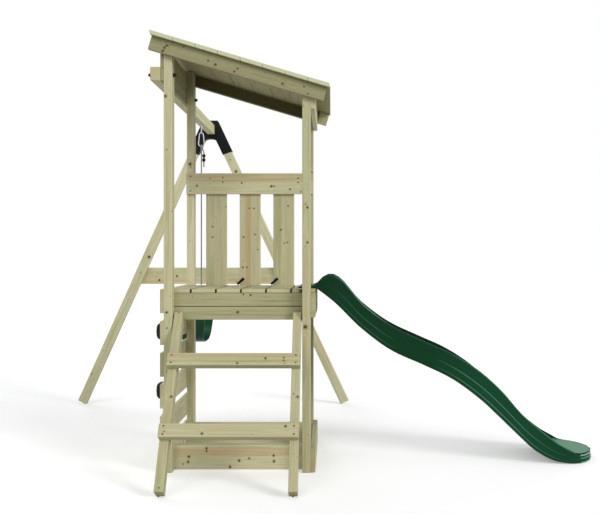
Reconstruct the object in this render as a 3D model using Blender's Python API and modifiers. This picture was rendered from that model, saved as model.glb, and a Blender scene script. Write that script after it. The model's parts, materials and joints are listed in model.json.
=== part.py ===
"""Wooden play tower with a climbing wall, a ladder, a wave slide and one swing.

Metres, +Z up. The origin is the centre of the front left post's foot. The ladder is at the front (-Y),
the climbing wall at the left (-X), the slide at the right (+X) and the swing beam runs to the back (+Y).
"""

import math

import bmesh
import bpy
from mathutils import Matrix, Vector

# Clearances
GAP = 0.0003            # between pieces that touch
SOCKET_CLEARANCE = 0.0005
BOLT_CLEARANCE = 0.0004
ROPE_PLAY = 0.0012      # round a rope in the seat
EAR_CLEARANCE = 0.001   # from the rope's turn to the seat's end

# Timber sections
POST_W = 0.045          # along X
POST_D = 0.070          # along Y
RAIL_T = 0.045          # joists, ladder legs and steps
RAIL_W = 0.070
JOIST_H = 0.073
BOARD_T = 0.020
BOARD_W = 0.130
SIDE_BOARD_T = 0.025    # boards on the tower's right side
ARRIS = 0.0025          # planed corner of every timber

# Tower plan
TOWER_W = 0.790
TOWER_D = 0.790

# Deck
DECK_TOP = 0.986
DECK_T = 0.021
DECK_BOARDS = 6
DECK_BOARD_GAP = 0.007

# Climbing wall
WALL_TOP = 0.988
WALL_BOARDS = 6
WALL_PITCH = 0.1708
HOLD_H = 0.096
HOLD_L = 0.080
HOLD_PROUD = 0.041
HOLD_INSET = 0.120      # from either end of a wall board
HOLD_SQUARE = 0.6       # 1 is an ellipsoid, and less is squarer

# Boards at the ground
GROUND_CLEARANCE = 0.003
GROUND_FRONT_T = 0.055

# Balustrade at the back
GUARD_TOP = 1.682
BALUSTERS = 3
BALUSTER_PITCH = 0.210
BALUSTER_DROP = 0.006   # from the rail's top edge to the balusters' top

# Roof
ROOF_SLOPE = math.radians(16.5)
ROOF_UNDER = 2.3213     # height of the boards' underside above the origin
ROOF_T = 0.022
ROOF_BOARDS = 8
ROOF_LEFT = 0.0685      # eaves past the left and right posts, and past the front and back
ROOF_RIGHT = 0.101
ROOF_FRONT = 0.050
ROOF_BOARD_GAP = 0.0008
ROOF_SCARF = 0.012      # lean of each roof board's long edges
BARGE_T = 0.028
BARGE_W = 0.075
BARGE_LEFT = 0.058
BARGE_RIGHT = 0.089
BARGE_BACK_SHIFT = 0.010
HEADER_T = 0.018
HEADER_DROP = 0.2123    # from the boards' underside down to the lower header's bottom
SIDE_HEADER_T = 0.024
SIDE_HEADER_DROP = 0.3633

# Ladder
LADDER_LEAN = math.radians(33.0)
LADDER_W = 0.689
LADDER_TOP = 0.864      # front top corner of a leg
LADDER_REACH = 0.499    # from the front posts' face out to the legs' front foot edge
STEP_W = 0.693
STEP_HEIGHTS = (0.297, 0.622)

# Swing beam and its frame
BEAM_W = 0.054
BEAM_H = 0.073
BEAM_DROP = 0.2103      # from the boards' underside down to the beam's front end
BEAM_RISE = 0.018       # from its front end to its back end
BEAM_LENGTH = 2.150
FRAME_LEG_W = 0.070
FRAME_LEG_T = 0.045
LEG_TOP_DROP = 0.021    # from here on, drops and rises are from the beam's bottom
FRAME_HALF = {"left": 0.0880, "right": 0.0780}   # from the beam's centre to a leg's top
FRAME_SPREAD = {"left": 0.9383, "right": 0.9823}  # from a leg's top out to its foot
BRACKET_WALL = 0.005
BRACKET_RISE = 0.127
BRACKET_DROP = 0.143
BRACKET_RAKE = 0.026    # how much higher a sleeve's outer corner ends
ARCH_DROP = 0.017
FRAME_SETBACK = 0.007   # from the beam's end to the legs' back face
BRACE_HALF = 0.575
BRACE_BOTTOM = 0.947

# Swing
SWING_Y = 1.355         # middle of the seat
ROPE_SPREAD = 0.210     # from the middle to each rope
ROPE_R = 0.005
ROPE_TAIL = 0.150       # length of the free tail below the link
ROPE_TAIL_OFFSET = 0.018
PIVOT_DROP = 0.057      # from the beam's bottom down to the swing's hinge axis
LINK_WIRE_R = 0.0035
LINK_TOP_R = 0.014
LINK_FOOT_R = 0.021
LINK_H = 0.066          # between the link's two bends' centres
EYE_WIRE_R = 0.003
EYE_R = 0.0075
EYE_SHANK_R = 0.004
EYE_COLLAR_R = 0.010
EYE_COLLAR_T = 0.004
EYE_BITE = 0.045        # depth of the thread in the beam
SEAT_W = 0.140
SEAT_WAIST_W = 0.174    # where the pan turns into its arched ends
SEAT_T = 0.006
SEAT_LOW = 0.570        # underside of the seat at its middle
SEAT_WAIST = 0.708
SEAT_HIGH = 0.775       # top of its arched ends
ROPE_HOLE_DROP = 0.030  # from the top of a seat end to its rope hole
ROPE_TURN = 0.0095      # radius of the rope's turn into the seat
ROPE_KNOT = 2.1         # knot radius over rope radius

# Slide
SLIDE_W = 0.420
SLIDE_END = 2.382       # far end, along X
SLIDE_LIP = 0.100       # lip that lies on the deck
SLIDE_LIP_T = 0.009
SLIDE_RIM = 0.030
SLIDE_STATIONS = 48
SLIDE_NOSE = 0.175      # length of the rounded end

# Places that follow from the sizes above
LEFT = -POST_W / 2
RIGHT = LEFT + TOWER_W
FRONT = -POST_D / 2
BACK = FRONT + TOWER_D
MIDDLE_X = (LEFT + RIGHT) / 2
MIDDLE_Y = (FRONT + BACK) / 2
INNER_FRONT = FRONT + POST_D + GAP
INNER_BACK = BACK - POST_D - GAP
JOIST_TOP = DECK_TOP - DECK_T - GAP
HEADER_BOTTOM = ROOF_UNDER - HEADER_DROP
SIDE_HEADER_BOTTOM = ROOF_UNDER - SIDE_HEADER_DROP
BEAM_BOTTOM = ROOF_UNDER - BEAM_DROP
FRAME_LEG_TOP = BEAM_BOTTOM - LEG_TOP_DROP
BRACKET_TOP = BEAM_BOTTOM + BRACKET_RISE
BRACKET_FOOT = BEAM_BOTTOM - BRACKET_DROP
BRACKET_ARCH = BEAM_BOTTOM - ARCH_DROP
PIVOT_Z = BEAM_BOTTOM - PIVOT_DROP
BEAM_X = LEFT - GAP - HEADER_T - GAP - BEAM_W / 2
BEAM_END = FRONT + BEAM_LENGTH
BEAM_TILT = math.asin(BEAM_RISE / BEAM_LENGTH)
FRAME_Y = BEAM_END - FRAME_SETBACK - FRAME_LEG_T / 2
SIDES = (("left", -1), ("right", 1))


def clear_scene():
    for obj in list(bpy.data.objects):
        bpy.data.objects.remove(obj, do_unlink=True)


def new_collection(name, hidden=False):
    collection = bpy.data.collections.new(name)
    bpy.context.scene.collection.children.link(collection)
    collection.hide_render = hidden
    return collection


def new_material(name, colour, roughness, metallic=0.0):
    material = bpy.data.materials.new(name)
    material.use_nodes = True
    shader = material.node_tree.nodes["Principled BSDF"]
    shader.inputs["Base Color"].default_value = (*colour, 1.0)
    shader.inputs["Roughness"].default_value = roughness
    shader.inputs["Metallic"].default_value = metallic
    material.diffuse_color = (*colour, 1.0)
    return material


def add_object(name, data, material, collection):
    obj = bpy.data.objects.new(name, data)
    collection.objects.link(obj)
    if material is not None:
        data.materials.append(material)
    return obj


def add_mesh(name, shape, material, collection):
    """An object from a bmesh, which is freed."""
    mesh = bpy.data.meshes.new(name)
    shape.to_mesh(mesh)
    shape.free()
    return add_object(name, mesh, material, collection)


def add_bevel(obj, width, segments=1):
    bevel = obj.modifiers.new("arris", "BEVEL")
    bevel.width = width
    bevel.segments = segments
    bevel.limit_method = "ANGLE"
    bevel.angle_limit = math.radians(40)


def add_cutter(obj, cutter):
    cut = obj.modifiers.new("cut_" + cutter.name, "BOOLEAN")
    cut.operation = "DIFFERENCE"
    cut.object = cutter
    cutter.hide_render = True
    cutter.display_type = "WIRE"


def cube(size):
    shape = bmesh.new()
    bmesh.ops.create_cube(shape, size=1.0)
    bmesh.ops.scale(shape, vec=size, verts=shape.verts)
    return shape


def timber(name, low, high, collection):
    """A planed timber between two corners, with its arrises taken off."""
    low, high = Vector(low), Vector(high)
    obj = add_mesh(name, cube(high - low), WOOD, collection)
    obj.location = (low + high) / 2
    add_bevel(obj, ARRIS)
    return obj


def leaning_timber(name, size, centre, axis, angle, collection):
    obj = add_mesh(name, cube(size), WOOD, collection)
    obj.matrix_world = Matrix.Translation(centre) @ Matrix.Rotation(angle, 4, axis)
    add_bevel(obj, ARRIS)
    return obj


def flat_outline(name, points, thickness, material, collection):
    """A flat plate from a closed outline in the local XY plane, centred on that plane."""
    curve = bpy.data.curves.new(name, "CURVE")
    curve.dimensions = "2D"
    curve.fill_mode = "BOTH"
    curve.extrude = thickness / 2
    spline = curve.splines.new("POLY")
    spline.points.add(len(points) - 1)
    for point, (x, y) in zip(spline.points, points):
        point.co = (x, y, 0.0, 1.0)
    spline.use_cyclic_u = True
    return add_object(name, curve, material, collection)


def as_mesh(obj, collection):
    """The curve object as a mesh object with its caps welded, in the same place."""
    bpy.context.view_layer.update()
    graph = bpy.context.evaluated_depsgraph_get()
    mesh = bpy.data.meshes.new_from_object(obj.evaluated_get(graph))
    name, place = obj.name, obj.matrix_world.copy()
    bpy.data.objects.remove(obj, do_unlink=True)
    mesh.name = name
    shape = bmesh.new()
    shape.from_mesh(mesh)
    bmesh.ops.remove_doubles(shape, verts=shape.verts, dist=1e-6)
    bmesh.ops.recalc_face_normals(shape, faces=shape.faces)
    if shape.calc_volume(signed=True) < 0:
        bmesh.ops.reverse_faces(shape, faces=shape.faces)
    shape.to_mesh(mesh)
    shape.free()
    made = bpy.data.objects.new(name, mesh)
    collection.objects.link(made)
    made.matrix_world = place
    return made


def upright(x_axis, place):
    """A matrix that stands a flat outline up: its X along x_axis, its Y along world Z."""
    x_axis = Vector(x_axis)
    z_axis = x_axis.cross(Vector((0, 0, 1)))
    turn = Matrix((x_axis, Vector((0, 0, 1)), z_axis)).transposed().to_4x4()
    return Matrix.Translation(place) @ turn


def tube(name, points, radius, material, collection, radii=None, closed=False, resolution=2):
    curve = bpy.data.curves.new(name, "CURVE")
    curve.dimensions = "3D"
    curve.bevel_depth = radius
    curve.bevel_resolution = resolution
    curve.use_fill_caps = True
    spline = curve.splines.new("POLY")
    spline.points.add(len(points) - 1)
    for index, (point, place) in enumerate(zip(spline.points, points)):
        point.co = (*place, 1.0)
        point.radius = radii[index] if radii else 1.0
    spline.use_cyclic_u = closed
    return add_object(name, curve, material, collection)


def smooth_line(points, steps):
    """Points on one smooth curve through the given ones."""
    ends = [2 * points[0] - points[1], *points, 2 * points[-1] - points[-2]]
    line = []
    for i in range(1, len(ends) - 2):
        a, b, c, d = ends[i - 1 : i + 3]
        for k in range(steps):
            t = k / steps
            line.append(
                0.5
                * (
                    2 * b
                    + (c - a) * t
                    + (2 * a - 5 * b + 4 * c - d) * t**2
                    + (3 * b - a - 3 * c + d) * t**3
                )
            )
    line.append(points[-1].copy())
    return line


def height_at(points, x):
    """Height at x on a curve through (x, height) points that never overshoots them."""
    if x <= points[0][0]:
        return points[0][1]
    if x >= points[-1][0]:
        return points[-1][1]
    rises = [(b[1] - a[1]) / (b[0] - a[0]) for a, b in zip(points, points[1:])]
    slopes = [rises[0]]
    for before, after in zip(rises, rises[1:]):
        turn = before * after <= 0
        slopes.append(0.0 if turn else 2 * before * after / (before + after))
    slopes.append(rises[-1])
    i = max(k for k in range(len(rises)) if points[k][0] <= x)
    (x0, z0), (x1, z1) = points[i], points[i + 1]
    span = x1 - x0
    t = (x - x0) / span
    return (
        z0 * (1 + 2 * t) * (1 - t) ** 2
        + slopes[i] * span * t * (1 - t) ** 2
        + z1 * t**2 * (3 - 2 * t)
        + slopes[i + 1] * span * t**2 * (t - 1)
    )


def roof_under(x):
    return ROOF_UNDER - math.tan(ROOF_SLOPE) * x


def build_posts(parts):
    for side, x in (("left", LEFT), ("right", RIGHT - POST_W)):
        top = roof_under(x + POST_W) - GAP
        for end, y in (("front", FRONT), ("back", BACK - POST_D)):
            timber(f"post_{end}_{side}", (x, y, 0), (x + POST_W, y + POST_D, top), parts)


def build_deck(parts):
    front, back = INNER_FRONT, INNER_BACK
    for level, top in (("upper", JOIST_TOP), ("lower", JOIST_TOP - JOIST_H - GAP)):
        low = (LEFT + GAP, front, top - JOIST_H)
        timber(f"joist_front_{level}", low, (RIGHT - GAP, front + RAIL_T, top), parts)
    low = (LEFT + GAP, back - RAIL_T, JOIST_TOP - JOIST_H)
    timber("joist_back", low, (RIGHT - GAP, back, JOIST_TOP), parts)

    board = RIGHT + GAP
    low = (board, FRONT, JOIST_TOP - BOARD_W)
    timber("deck_edge_board", low, (board + SIDE_BOARD_T, BACK, JOIST_TOP), parts)

    left, right = LEFT + GAP, RIGHT + GAP + SIDE_BOARD_T
    gaps = (DECK_BOARDS - 1) * DECK_BOARD_GAP
    width = (right - left - gaps) / DECK_BOARDS
    for i in range(DECK_BOARDS):
        x = left + i * (width + DECK_BOARD_GAP)
        low = (x, front, DECK_TOP - DECK_T)
        timber(f"deck_board_{i + 1}", low, (x + width, back, DECK_TOP), parts)


def build_ground_boards(parts):
    low, high = GROUND_CLEARANCE, GROUND_CLEARANCE + BOARD_W
    left, right = LEFT + GAP, RIGHT - GAP
    y = INNER_FRONT
    timber("ground_board_front", (left, y, low), (right, y + GROUND_FRONT_T, high), parts)
    y = INNER_BACK - BOARD_T
    timber("ground_board_back", (left, y, low), (right, y + BOARD_T, high), parts)
    x = RIGHT + GAP
    timber("ground_board_right", (x, FRONT, low), (x + SIDE_BOARD_T, BACK, high), parts)


def build_climbing_wall(parts):
    x = LEFT - GAP - BOARD_T
    tops = [WALL_TOP - i * WALL_PITCH for i in range(WALL_BOARDS)]
    for i, top in enumerate(tops):
        low = (x, FRONT, top - BOARD_W)
        timber(f"wall_board_{i + 1}", low, (x + BOARD_T, BACK, top), parts)
    near, far = FRONT + HOLD_INSET, BACK - HOLD_INSET
    for number, (board, y, lift) in enumerate(((1, near, 0.0), (2, far, 0.0), (3, near, 0.015)), 1):
        centre = (x - GAP, y, tops[board] - BOARD_W / 2 + lift)
        hold = add_mesh(f"climbing_hold_{number}", hold_shape(), BLACK_PLASTIC, parts)
        hold.location = centre


def hold_shape():
    """A half lump with its flat back in the plane x = 0, thicker above its middle."""
    shape = bmesh.new()
    bmesh.ops.create_uvsphere(shape, u_segments=14, v_segments=8, radius=1.0)
    for vert in shape.verts:
        vert.co = [math.copysign(abs(part) ** HOLD_SQUARE, part) for part in vert.co]
    bmesh.ops.scale(shape, vec=(HOLD_PROUD, HOLD_L / 2, HOLD_H / 2), verts=shape.verts)
    every = shape.verts[:] + shape.edges[:] + shape.faces[:]
    cut = bmesh.ops.bisect_plane(
        shape, geom=every, plane_co=(0, 0, 0), plane_no=(1, 0, 0), clear_outer=True
    )
    edges = [e for e in cut["geom_cut"] if isinstance(e, bmesh.types.BMEdge)]
    bmesh.ops.contextual_create(shape, geom=edges)
    bmesh.ops.recalc_face_normals(shape, faces=shape.faces)
    return shape


def build_guard(parts):
    y = INNER_BACK
    low = (LEFT + GAP, y - BOARD_T, GUARD_TOP - BOARD_W)
    timber("guard_rail", low, (RIGHT - GAP, y, GUARD_TOP), parts)
    y = INNER_BACK + GAP
    top = GUARD_TOP - BALUSTER_DROP
    bottom = JOIST_TOP - JOIST_H
    for i in range(BALUSTERS):
        x = MIDDLE_X + (i - (BALUSTERS - 1) / 2) * BALUSTER_PITCH - BOARD_W / 2
        timber(f"baluster_{i + 1}", (x, y, bottom), (x + BOARD_W, y + BOARD_T, top), parts)


def build_roof(parts):
    slope = Matrix.Rotation(ROOF_SLOPE, 4, "Y")
    left, right = LEFT - ROOF_LEFT, RIGHT + ROOF_RIGHT
    length = (right - left) / math.cos(ROOF_SLOPE)
    pitch = (length + ROOF_BOARD_GAP) / ROOF_BOARDS
    width = pitch - ROOF_BOARD_GAP
    depth = TOWER_D + 2 * ROOF_FRONT
    origin = Matrix.Translation((left, MIDDLE_Y, roof_under(left))) @ slope
    for i in range(ROOF_BOARDS):
        shape = cube((width, depth, ROOF_T))
        for vert in shape.verts:
            vert.co.x += width / 2 - ROOF_SCARF * vert.co.z / ROOF_T
            vert.co.z += ROOF_T / 2
        board = add_mesh(f"roof_board_{i + 1}", shape, WOOD, parts)
        board.matrix_world = origin @ Matrix.Translation((i * pitch, 0, 0))
        add_bevel(board, ARRIS)

    left, right = LEFT - BARGE_LEFT, RIGHT + BARGE_RIGHT
    size = ((right - left) / math.cos(ROOF_SLOPE), BARGE_T, BARGE_W)
    half = BARGE_W / 2 + GAP
    for name, y, shift in (
        ("barge_board_front", FRONT - GAP - BARGE_T / 2, 0.0),
        ("barge_board_back", BACK + GAP + BARGE_T / 2, BARGE_BACK_SHIFT),
    ):
        x = (left + right) / 2 + shift
        down = Vector((-math.sin(ROOF_SLOPE), 0, -math.cos(ROOF_SLOPE))) * half
        centre = Vector((x, y, roof_under(x))) + down
        leaning_timber(name, size, centre, "Y", ROOF_SLOPE, parts)

    x = LEFT - GAP - HEADER_T
    for name, bottom, width in (
        ("header_left_lower", HEADER_BOTTOM, RAIL_W),
        ("header_left_upper", HEADER_BOTTOM + RAIL_W + GAP, BOARD_W),
    ):
        timber(name, (x, FRONT, bottom), (x + HEADER_T, BACK, bottom + width), parts)
    x = RIGHT + GAP
    low = (x, FRONT, SIDE_HEADER_BOTTOM)
    high = (x + SIDE_HEADER_T, BACK, roof_under(x + SIDE_HEADER_T) - GAP)
    timber("header_right", low, high, parts)


def build_ladder(parts):
    sin, cos, tan = (f(LADDER_LEAN) for f in (math.sin, math.cos, math.tan))
    foot = FRONT - LADDER_REACH
    heel = foot + RAIL_W * cos
    toe_z = RAIL_W * sin
    wall = INNER_FRONT - GAP
    top_y = foot + (LADDER_TOP - toe_z) * tan
    outline = (
        (foot, toe_z),
        (heel, 0.0),
        (wall, (wall - heel) / tan),
        (wall, LADDER_TOP - (wall - top_y) * tan),
        (top_y, LADDER_TOP),
    )
    for side, sign in (("left", -1), ("right", 1)):
        x = MIDDLE_X + sign * (LADDER_W - RAIL_T) / 2
        leg = flat_outline(f"ladder_leg_{side}", outline, RAIL_T, WOOD, parts)
        leg.matrix_world = upright((0, 1, 0), (x, 0, 0))
        leg = as_mesh(leg, parts)
        add_bevel(leg, ARRIS)
    out = Vector((0, -cos, sin))
    for number, height in enumerate(STEP_HEIGHTS, 1):
        rise = height - toe_z - sin * (RAIL_T / 2 + GAP)
        on_leg = Vector((MIDDLE_X, foot + rise * tan, toe_z + rise))
        centre = on_leg + out * (RAIL_T / 2 + GAP)
        size = (STEP_W, RAIL_T, RAIL_W)
        leaning_timber(f"ladder_step_{number}", size, centre, "X", -LADDER_LEAN, parts)


def build_swing_frame(parts, cutters):
    low = (BEAM_X - BEAM_W / 2, FRONT, BEAM_BOTTOM)
    high = (BEAM_X + BEAM_W / 2, BEAM_END, BEAM_BOTTOM + BEAM_H)
    beam = timber("swing_beam", low, high, parts)
    front_end = Matrix.Translation((0, FRONT, BEAM_BOTTOM))
    lift = front_end @ Matrix.Rotation(BEAM_TILT, 4, "X") @ front_end.inverted()
    beam.matrix_world = lift @ Matrix.Translation(beam.location)
    for end, sign in (("front", -1), ("back", 1)):
        shape = bmesh.new()
        bmesh.ops.create_cone(
            shape,
            cap_ends=True,
            segments=16,
            radius1=EYE_SHANK_R + BOLT_CLEARANCE,
            radius2=EYE_SHANK_R + BOLT_CLEARANCE,
            depth=2 * (EYE_BITE + GAP),
        )
        drill = add_mesh(f"drill_{end}", shape, None, cutters)
        y = SWING_Y + sign * ROPE_SPREAD
        drill.location = (BEAM_X, y, beam_under(y))
        add_cutter(beam, drill)

    sockets = []
    for side, sign in SIDES:
        splay = frame_splay(side)
        foot_z = FRAME_LEG_W / 2 * math.sin(splay)
        length = (FRAME_LEG_TOP - foot_z) / math.cos(splay)
        z = (FRAME_LEG_TOP + foot_z) / 2
        centre = Vector((BEAM_X + sign * leg_centre(side, z), FRAME_Y, z))
        size = (FRAME_LEG_W, FRAME_LEG_T, length)
        leaning_timber(f"swing_leg_{side}", size, centre, "Y", -sign * splay, parts)
        wide = Vector(size) + Vector((2, 2, 2)) * SOCKET_CLEARANCE
        socket = add_mesh(f"socket_{side}", cube(wide), None, cutters)
        socket.matrix_world = Matrix.Translation(centre) @ Matrix.Rotation(-sign * splay, 4, "Y")
        sockets.append(socket)

    bracket = flat_outline(
        "frame_bracket",
        bracket_outline(),
        FRAME_LEG_T + 2 * BRACKET_WALL,
        BLACK_PLASTIC,
        parts,
    )
    bracket.matrix_world = upright((1, 0, 0), (BEAM_X, FRAME_Y, 0))
    bracket = as_mesh(bracket, parts)
    room = Vector((BEAM_W, BEAM_LENGTH, BEAM_H)) + Vector((2, 2, 2)) * SOCKET_CLEARANCE
    socket = add_mesh("socket_beam", cube(room), None, cutters)
    socket.matrix_world = beam.matrix_world.copy()
    sockets.append(socket)
    for socket in sockets:
        add_cutter(bracket, socket)

    back = FRAME_Y + FRAME_LEG_T / 2 + GAP
    low = (BEAM_X - BRACE_HALF, back, BRACE_BOTTOM)
    timber("frame_brace", low, (BEAM_X + BRACE_HALF, back + BOARD_T, BRACE_BOTTOM + BOARD_W), parts)


def frame_splay(side):
    """Lean of a frame leg from the vertical."""
    return math.atan(FRAME_SPREAD[side] / FRAME_LEG_TOP)


def leg_centre(side, z):
    """Distance from the beam's centre to a frame leg's centre line at height z."""
    return FRAME_HALF[side] + FRAME_SPREAD[side] * (1 - z / FRAME_LEG_TOP)


def beam_under(y):
    """Height of the beam's underside at y."""
    return BEAM_BOTTOM + math.tan(BEAM_TILT) * (y - FRONT)


def bracket_outline():
    """Two sleeves that follow the legs, joined by an arched bar below and above the beam."""
    outer_foot = BRACKET_FOOT + BRACKET_RAKE
    crotch = BRACKET_ARCH - 0.016
    arms, ends = {}, {}
    for side, sign in SIDES:
        half = (FRAME_LEG_W / 2 + BRACKET_WALL) / math.cos(frame_splay(side))
        shoulder = BRACKET_TOP - 0.010
        outer = [
            (leg_centre(side, shoulder) + half - 0.008, BRACKET_TOP),
            (leg_centre(side, shoulder) + half, shoulder),
            (leg_centre(side, outer_foot) + half, outer_foot),
            (leg_centre(side, BRACKET_FOOT) - half, BRACKET_FOOT),
        ]
        arms[side] = [(sign * x, z) for x, z in outer]
        ends[side] = leg_centre(side, crotch) - half
    arch = []
    middle, reach = (ends["right"] - ends["left"]) / 2, (ends["right"] + ends["left"]) / 2
    for step in range(9):
        angle = math.pi * step / 8
        rise = (BRACKET_ARCH - crotch) * math.sin(angle)
        arch.append((middle + reach * math.cos(angle), crotch + rise))
    return arms["right"] + arch + arms["left"][::-1]


def build_swing(parts, cutters):
    hinge = bpy.data.objects.new("swing_hinge", None)
    parts.objects.link(hinge)
    hinge.location = (BEAM_X, SWING_Y, PIVOT_Z)
    for end, sign in (("front", -1), ("back", 1)):
        y = SWING_Y + sign * ROPE_SPREAD
        eye_bolt(f"swing_eye_{end}", Vector((BEAM_X, y, PIVOT_Z)), parts)
        moving = (
            swing_link(f"swing_link_{end}", sign, parts),
            swing_rope(f"swing_rope_{end}", sign, parts),
        )
        for obj in moving:
            obj.parent = hinge
    seat = swing_seat(parts, cutters)
    seat.parent = hinge


def eye_bolt(name, pivot, parts):
    """A screw eye: the ring hangs in the YZ plane and its shank runs up into the beam."""
    centre = pivot + Vector((0, 0, LINK_TOP_R + EYE_R - EYE_WIRE_R - LINK_WIRE_R - GAP))
    ring = []
    for step in range(20):
        angle = 2 * math.pi * step / 20
        ring.append(centre + Vector((0, math.cos(angle), math.sin(angle))) * EYE_R)
    eye = tube(name, ring, EYE_WIRE_R, STEEL, parts, closed=True)
    eye = as_mesh(eye, parts)
    start = centre.z + EYE_R - EYE_WIRE_R * 0.4
    under = beam_under(pivot.y - EYE_COLLAR_R) - GAP
    profile = (
        (0.0, under + EYE_BITE),
        (EYE_SHANK_R, under + EYE_BITE),
        (EYE_SHANK_R, under),
        (EYE_COLLAR_R, under),
        (EYE_COLLAR_R, under - EYE_COLLAR_T),
        (EYE_SHANK_R, under - EYE_COLLAR_T),
        (EYE_SHANK_R, start),
        (0.0, start),
    )
    shank = turned(name + "_shank", profile, 16, parts)
    shank.location = (pivot.x, pivot.y, 0)
    join = eye.modifiers.new("shank", "BOOLEAN")
    join.operation = "UNION"
    join.object = shank
    shank.hide_render = True
    shank.display_type = "WIRE"
    return eye


def turned(name, profile, steps, collection):
    """A solid turned about Z from a profile of (radius, height) points, top to bottom."""
    shape = bmesh.new()
    verts = [shape.verts.new((r, 0, z)) for r, z in profile]
    for a, b in zip(verts, verts[1:]):
        shape.edges.new((a, b))
    obj = add_mesh(name, shape, None, collection)
    screw = obj.modifiers.new("turn", "SCREW")
    screw.axis = "Z"
    screw.steps = screw.render_steps = steps
    screw.use_merge_vertices = True
    screw.merge_threshold = 0.00001
    return obj


def swing_link(name, sign, parts):
    """A pear-shaped steel link in the XZ plane, in the hinge's own frame."""
    lean = math.asin((LINK_FOOT_R - LINK_TOP_R) / LINK_H)
    points = []
    for step in range(11):
        angle = math.pi - lean - (math.pi - 2 * lean) * step / 10
        points.append(Vector((math.cos(angle), 0, math.sin(angle))) * LINK_TOP_R)
    foot = Vector((0, 0, -LINK_H))
    for step in range(11):
        angle = lean - (math.pi + 2 * lean) * step / 10
        points.append(foot + Vector((math.cos(angle), 0, math.sin(angle))) * LINK_FOOT_R)
    points = [p + Vector((0, sign * ROPE_SPREAD, 0)) for p in points]
    return tube(name, points, LINK_WIRE_R, STEEL, parts, closed=True)


def swing_rope(name, sign, parts):
    """One rope: tail, over the link's foot, down, and in through the seat's end to its knot."""
    wire = -LINK_H - LINK_FOOT_R
    bend = LINK_WIRE_R + ROPE_R + 2 * GAP
    hole = SEAT_HIGH - ROPE_HOLE_DROP - PIVOT_Z
    y = sign * ROPE_SPREAD
    inward = -sign
    tail_x = ROPE_TAIL_OFFSET
    top = [
        Vector((tail_x, y, wire - ROPE_TAIL)),
        Vector((tail_x, y, wire - ROPE_TAIL * 0.6)),
        Vector((tail_x, y + 0.2 * bend, wire - 0.050)),
        Vector((tail_x * 0.6, y + 0.8 * bend, wire - 0.024)),
    ]
    for step in range(5):
        angle = math.pi * step / 4
        over = Vector((0.001, bend * math.cos(angle), bend * math.sin(angle)))
        top.append(Vector((0.0, y, wire)) + over)
    top.append(Vector((0.0, y - 0.7 * bend, wire - 0.024)))
    top.append(Vector((0.0, y, wire - 0.060)))
    fall = [Vector((0.0, y, wire - 0.060 + (hole - wire + 0.080) * t / 4)) for t in (1, 2, 3, 4)]
    turn = []
    for step in range(5):
        angle = math.pi / 2 * step / 4
        into = inward * ROPE_TURN * (1 - math.cos(angle))
        turn.append(Vector((0.0, y + into, hole + ROPE_TURN * (1 - math.sin(angle)))))
    line = smooth_line(top, 2) + fall + turn
    radii = [1.0] * len(line)
    knot = y + inward * (ROPE_TURN + EAR_CLEARANCE + SEAT_T + GAP)
    for step, share in ((0.0, 1.0), (0.001, ROPE_KNOT), (0.011, ROPE_KNOT), (0.015, 1.2)):
        line.append(Vector((0.0, knot + inward * step, hole)))
        radii.append(share)
    return tube(name, line, ROPE_R, ROPE, parts, radii=radii)


def swing_seat(parts, cutters):
    """A moulded strip that dips like a smile, with arched ends; in the hinge's own frame."""
    rows, columns = 28, 8
    reach = ROPE_SPREAD - ROPE_TURN - EAR_CLEARANCE - SEAT_T
    dip = SEAT_WAIST - SEAT_LOW - SEAT_T
    rise = SEAT_HIGH - SEAT_WAIST
    path = []
    for step in range(rows + 1):
        angle = math.pi * step / rows
        across, down = math.cos(angle), math.sin(angle)
        y = -math.copysign(abs(across) ** 0.6, across) * reach
        share = abs(down) ** 0.6
        width = SEAT_WAIST_W + (SEAT_W - SEAT_WAIST_W) * share
        path.append((y, SEAT_WAIST - dip * share, width))
    arch = []
    for step in range(1, 8):
        angle = math.pi / 2 * step / 7
        width = SEAT_WAIST_W * max(math.cos(angle), 0.2)
        arch.append((SEAT_WAIST + rise * math.sin(angle), width))
    path = [(-reach, *end) for end in reversed(arch)] + path + [(reach, *end) for end in arch]
    shape = bmesh.new()
    grid = []
    for y, z, width in path:
        row = []
        for column in range(columns + 1):
            x = width * (column / columns - 0.5)
            row.append(shape.verts.new((x, y, z - PIVOT_Z)))
        grid.append(row)
    for row, after in zip(grid, grid[1:]):
        for i in range(columns):
            shape.faces.new((row[i], row[i + 1], after[i + 1], after[i]))
    seat = add_mesh("swing_seat", shape, GREEN_PLASTIC, parts)
    wall = seat.modifiers.new("wall", "SOLIDIFY")
    wall.thickness = SEAT_T
    wall.offset = -1.0
    wall.use_even_offset = False
    shape = bmesh.new()
    bmesh.ops.create_cone(
        shape,
        cap_ends=True,
        segments=16,
        radius1=ROPE_R + ROPE_PLAY,
        radius2=ROPE_R + ROPE_PLAY,
        depth=2.6 * ROPE_SPREAD,
    )
    bmesh.ops.rotate(shape, verts=shape.verts, matrix=Matrix.Rotation(math.pi / 2, 3, "X"))
    drill = add_mesh("rope_drill", shape, None, cutters)
    drill.location = (BEAM_X, SWING_Y, SEAT_HIGH - ROPE_HOLE_DROP - ROPE_PLAY + GAP)
    add_cutter(seat, drill)
    return seat


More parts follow.
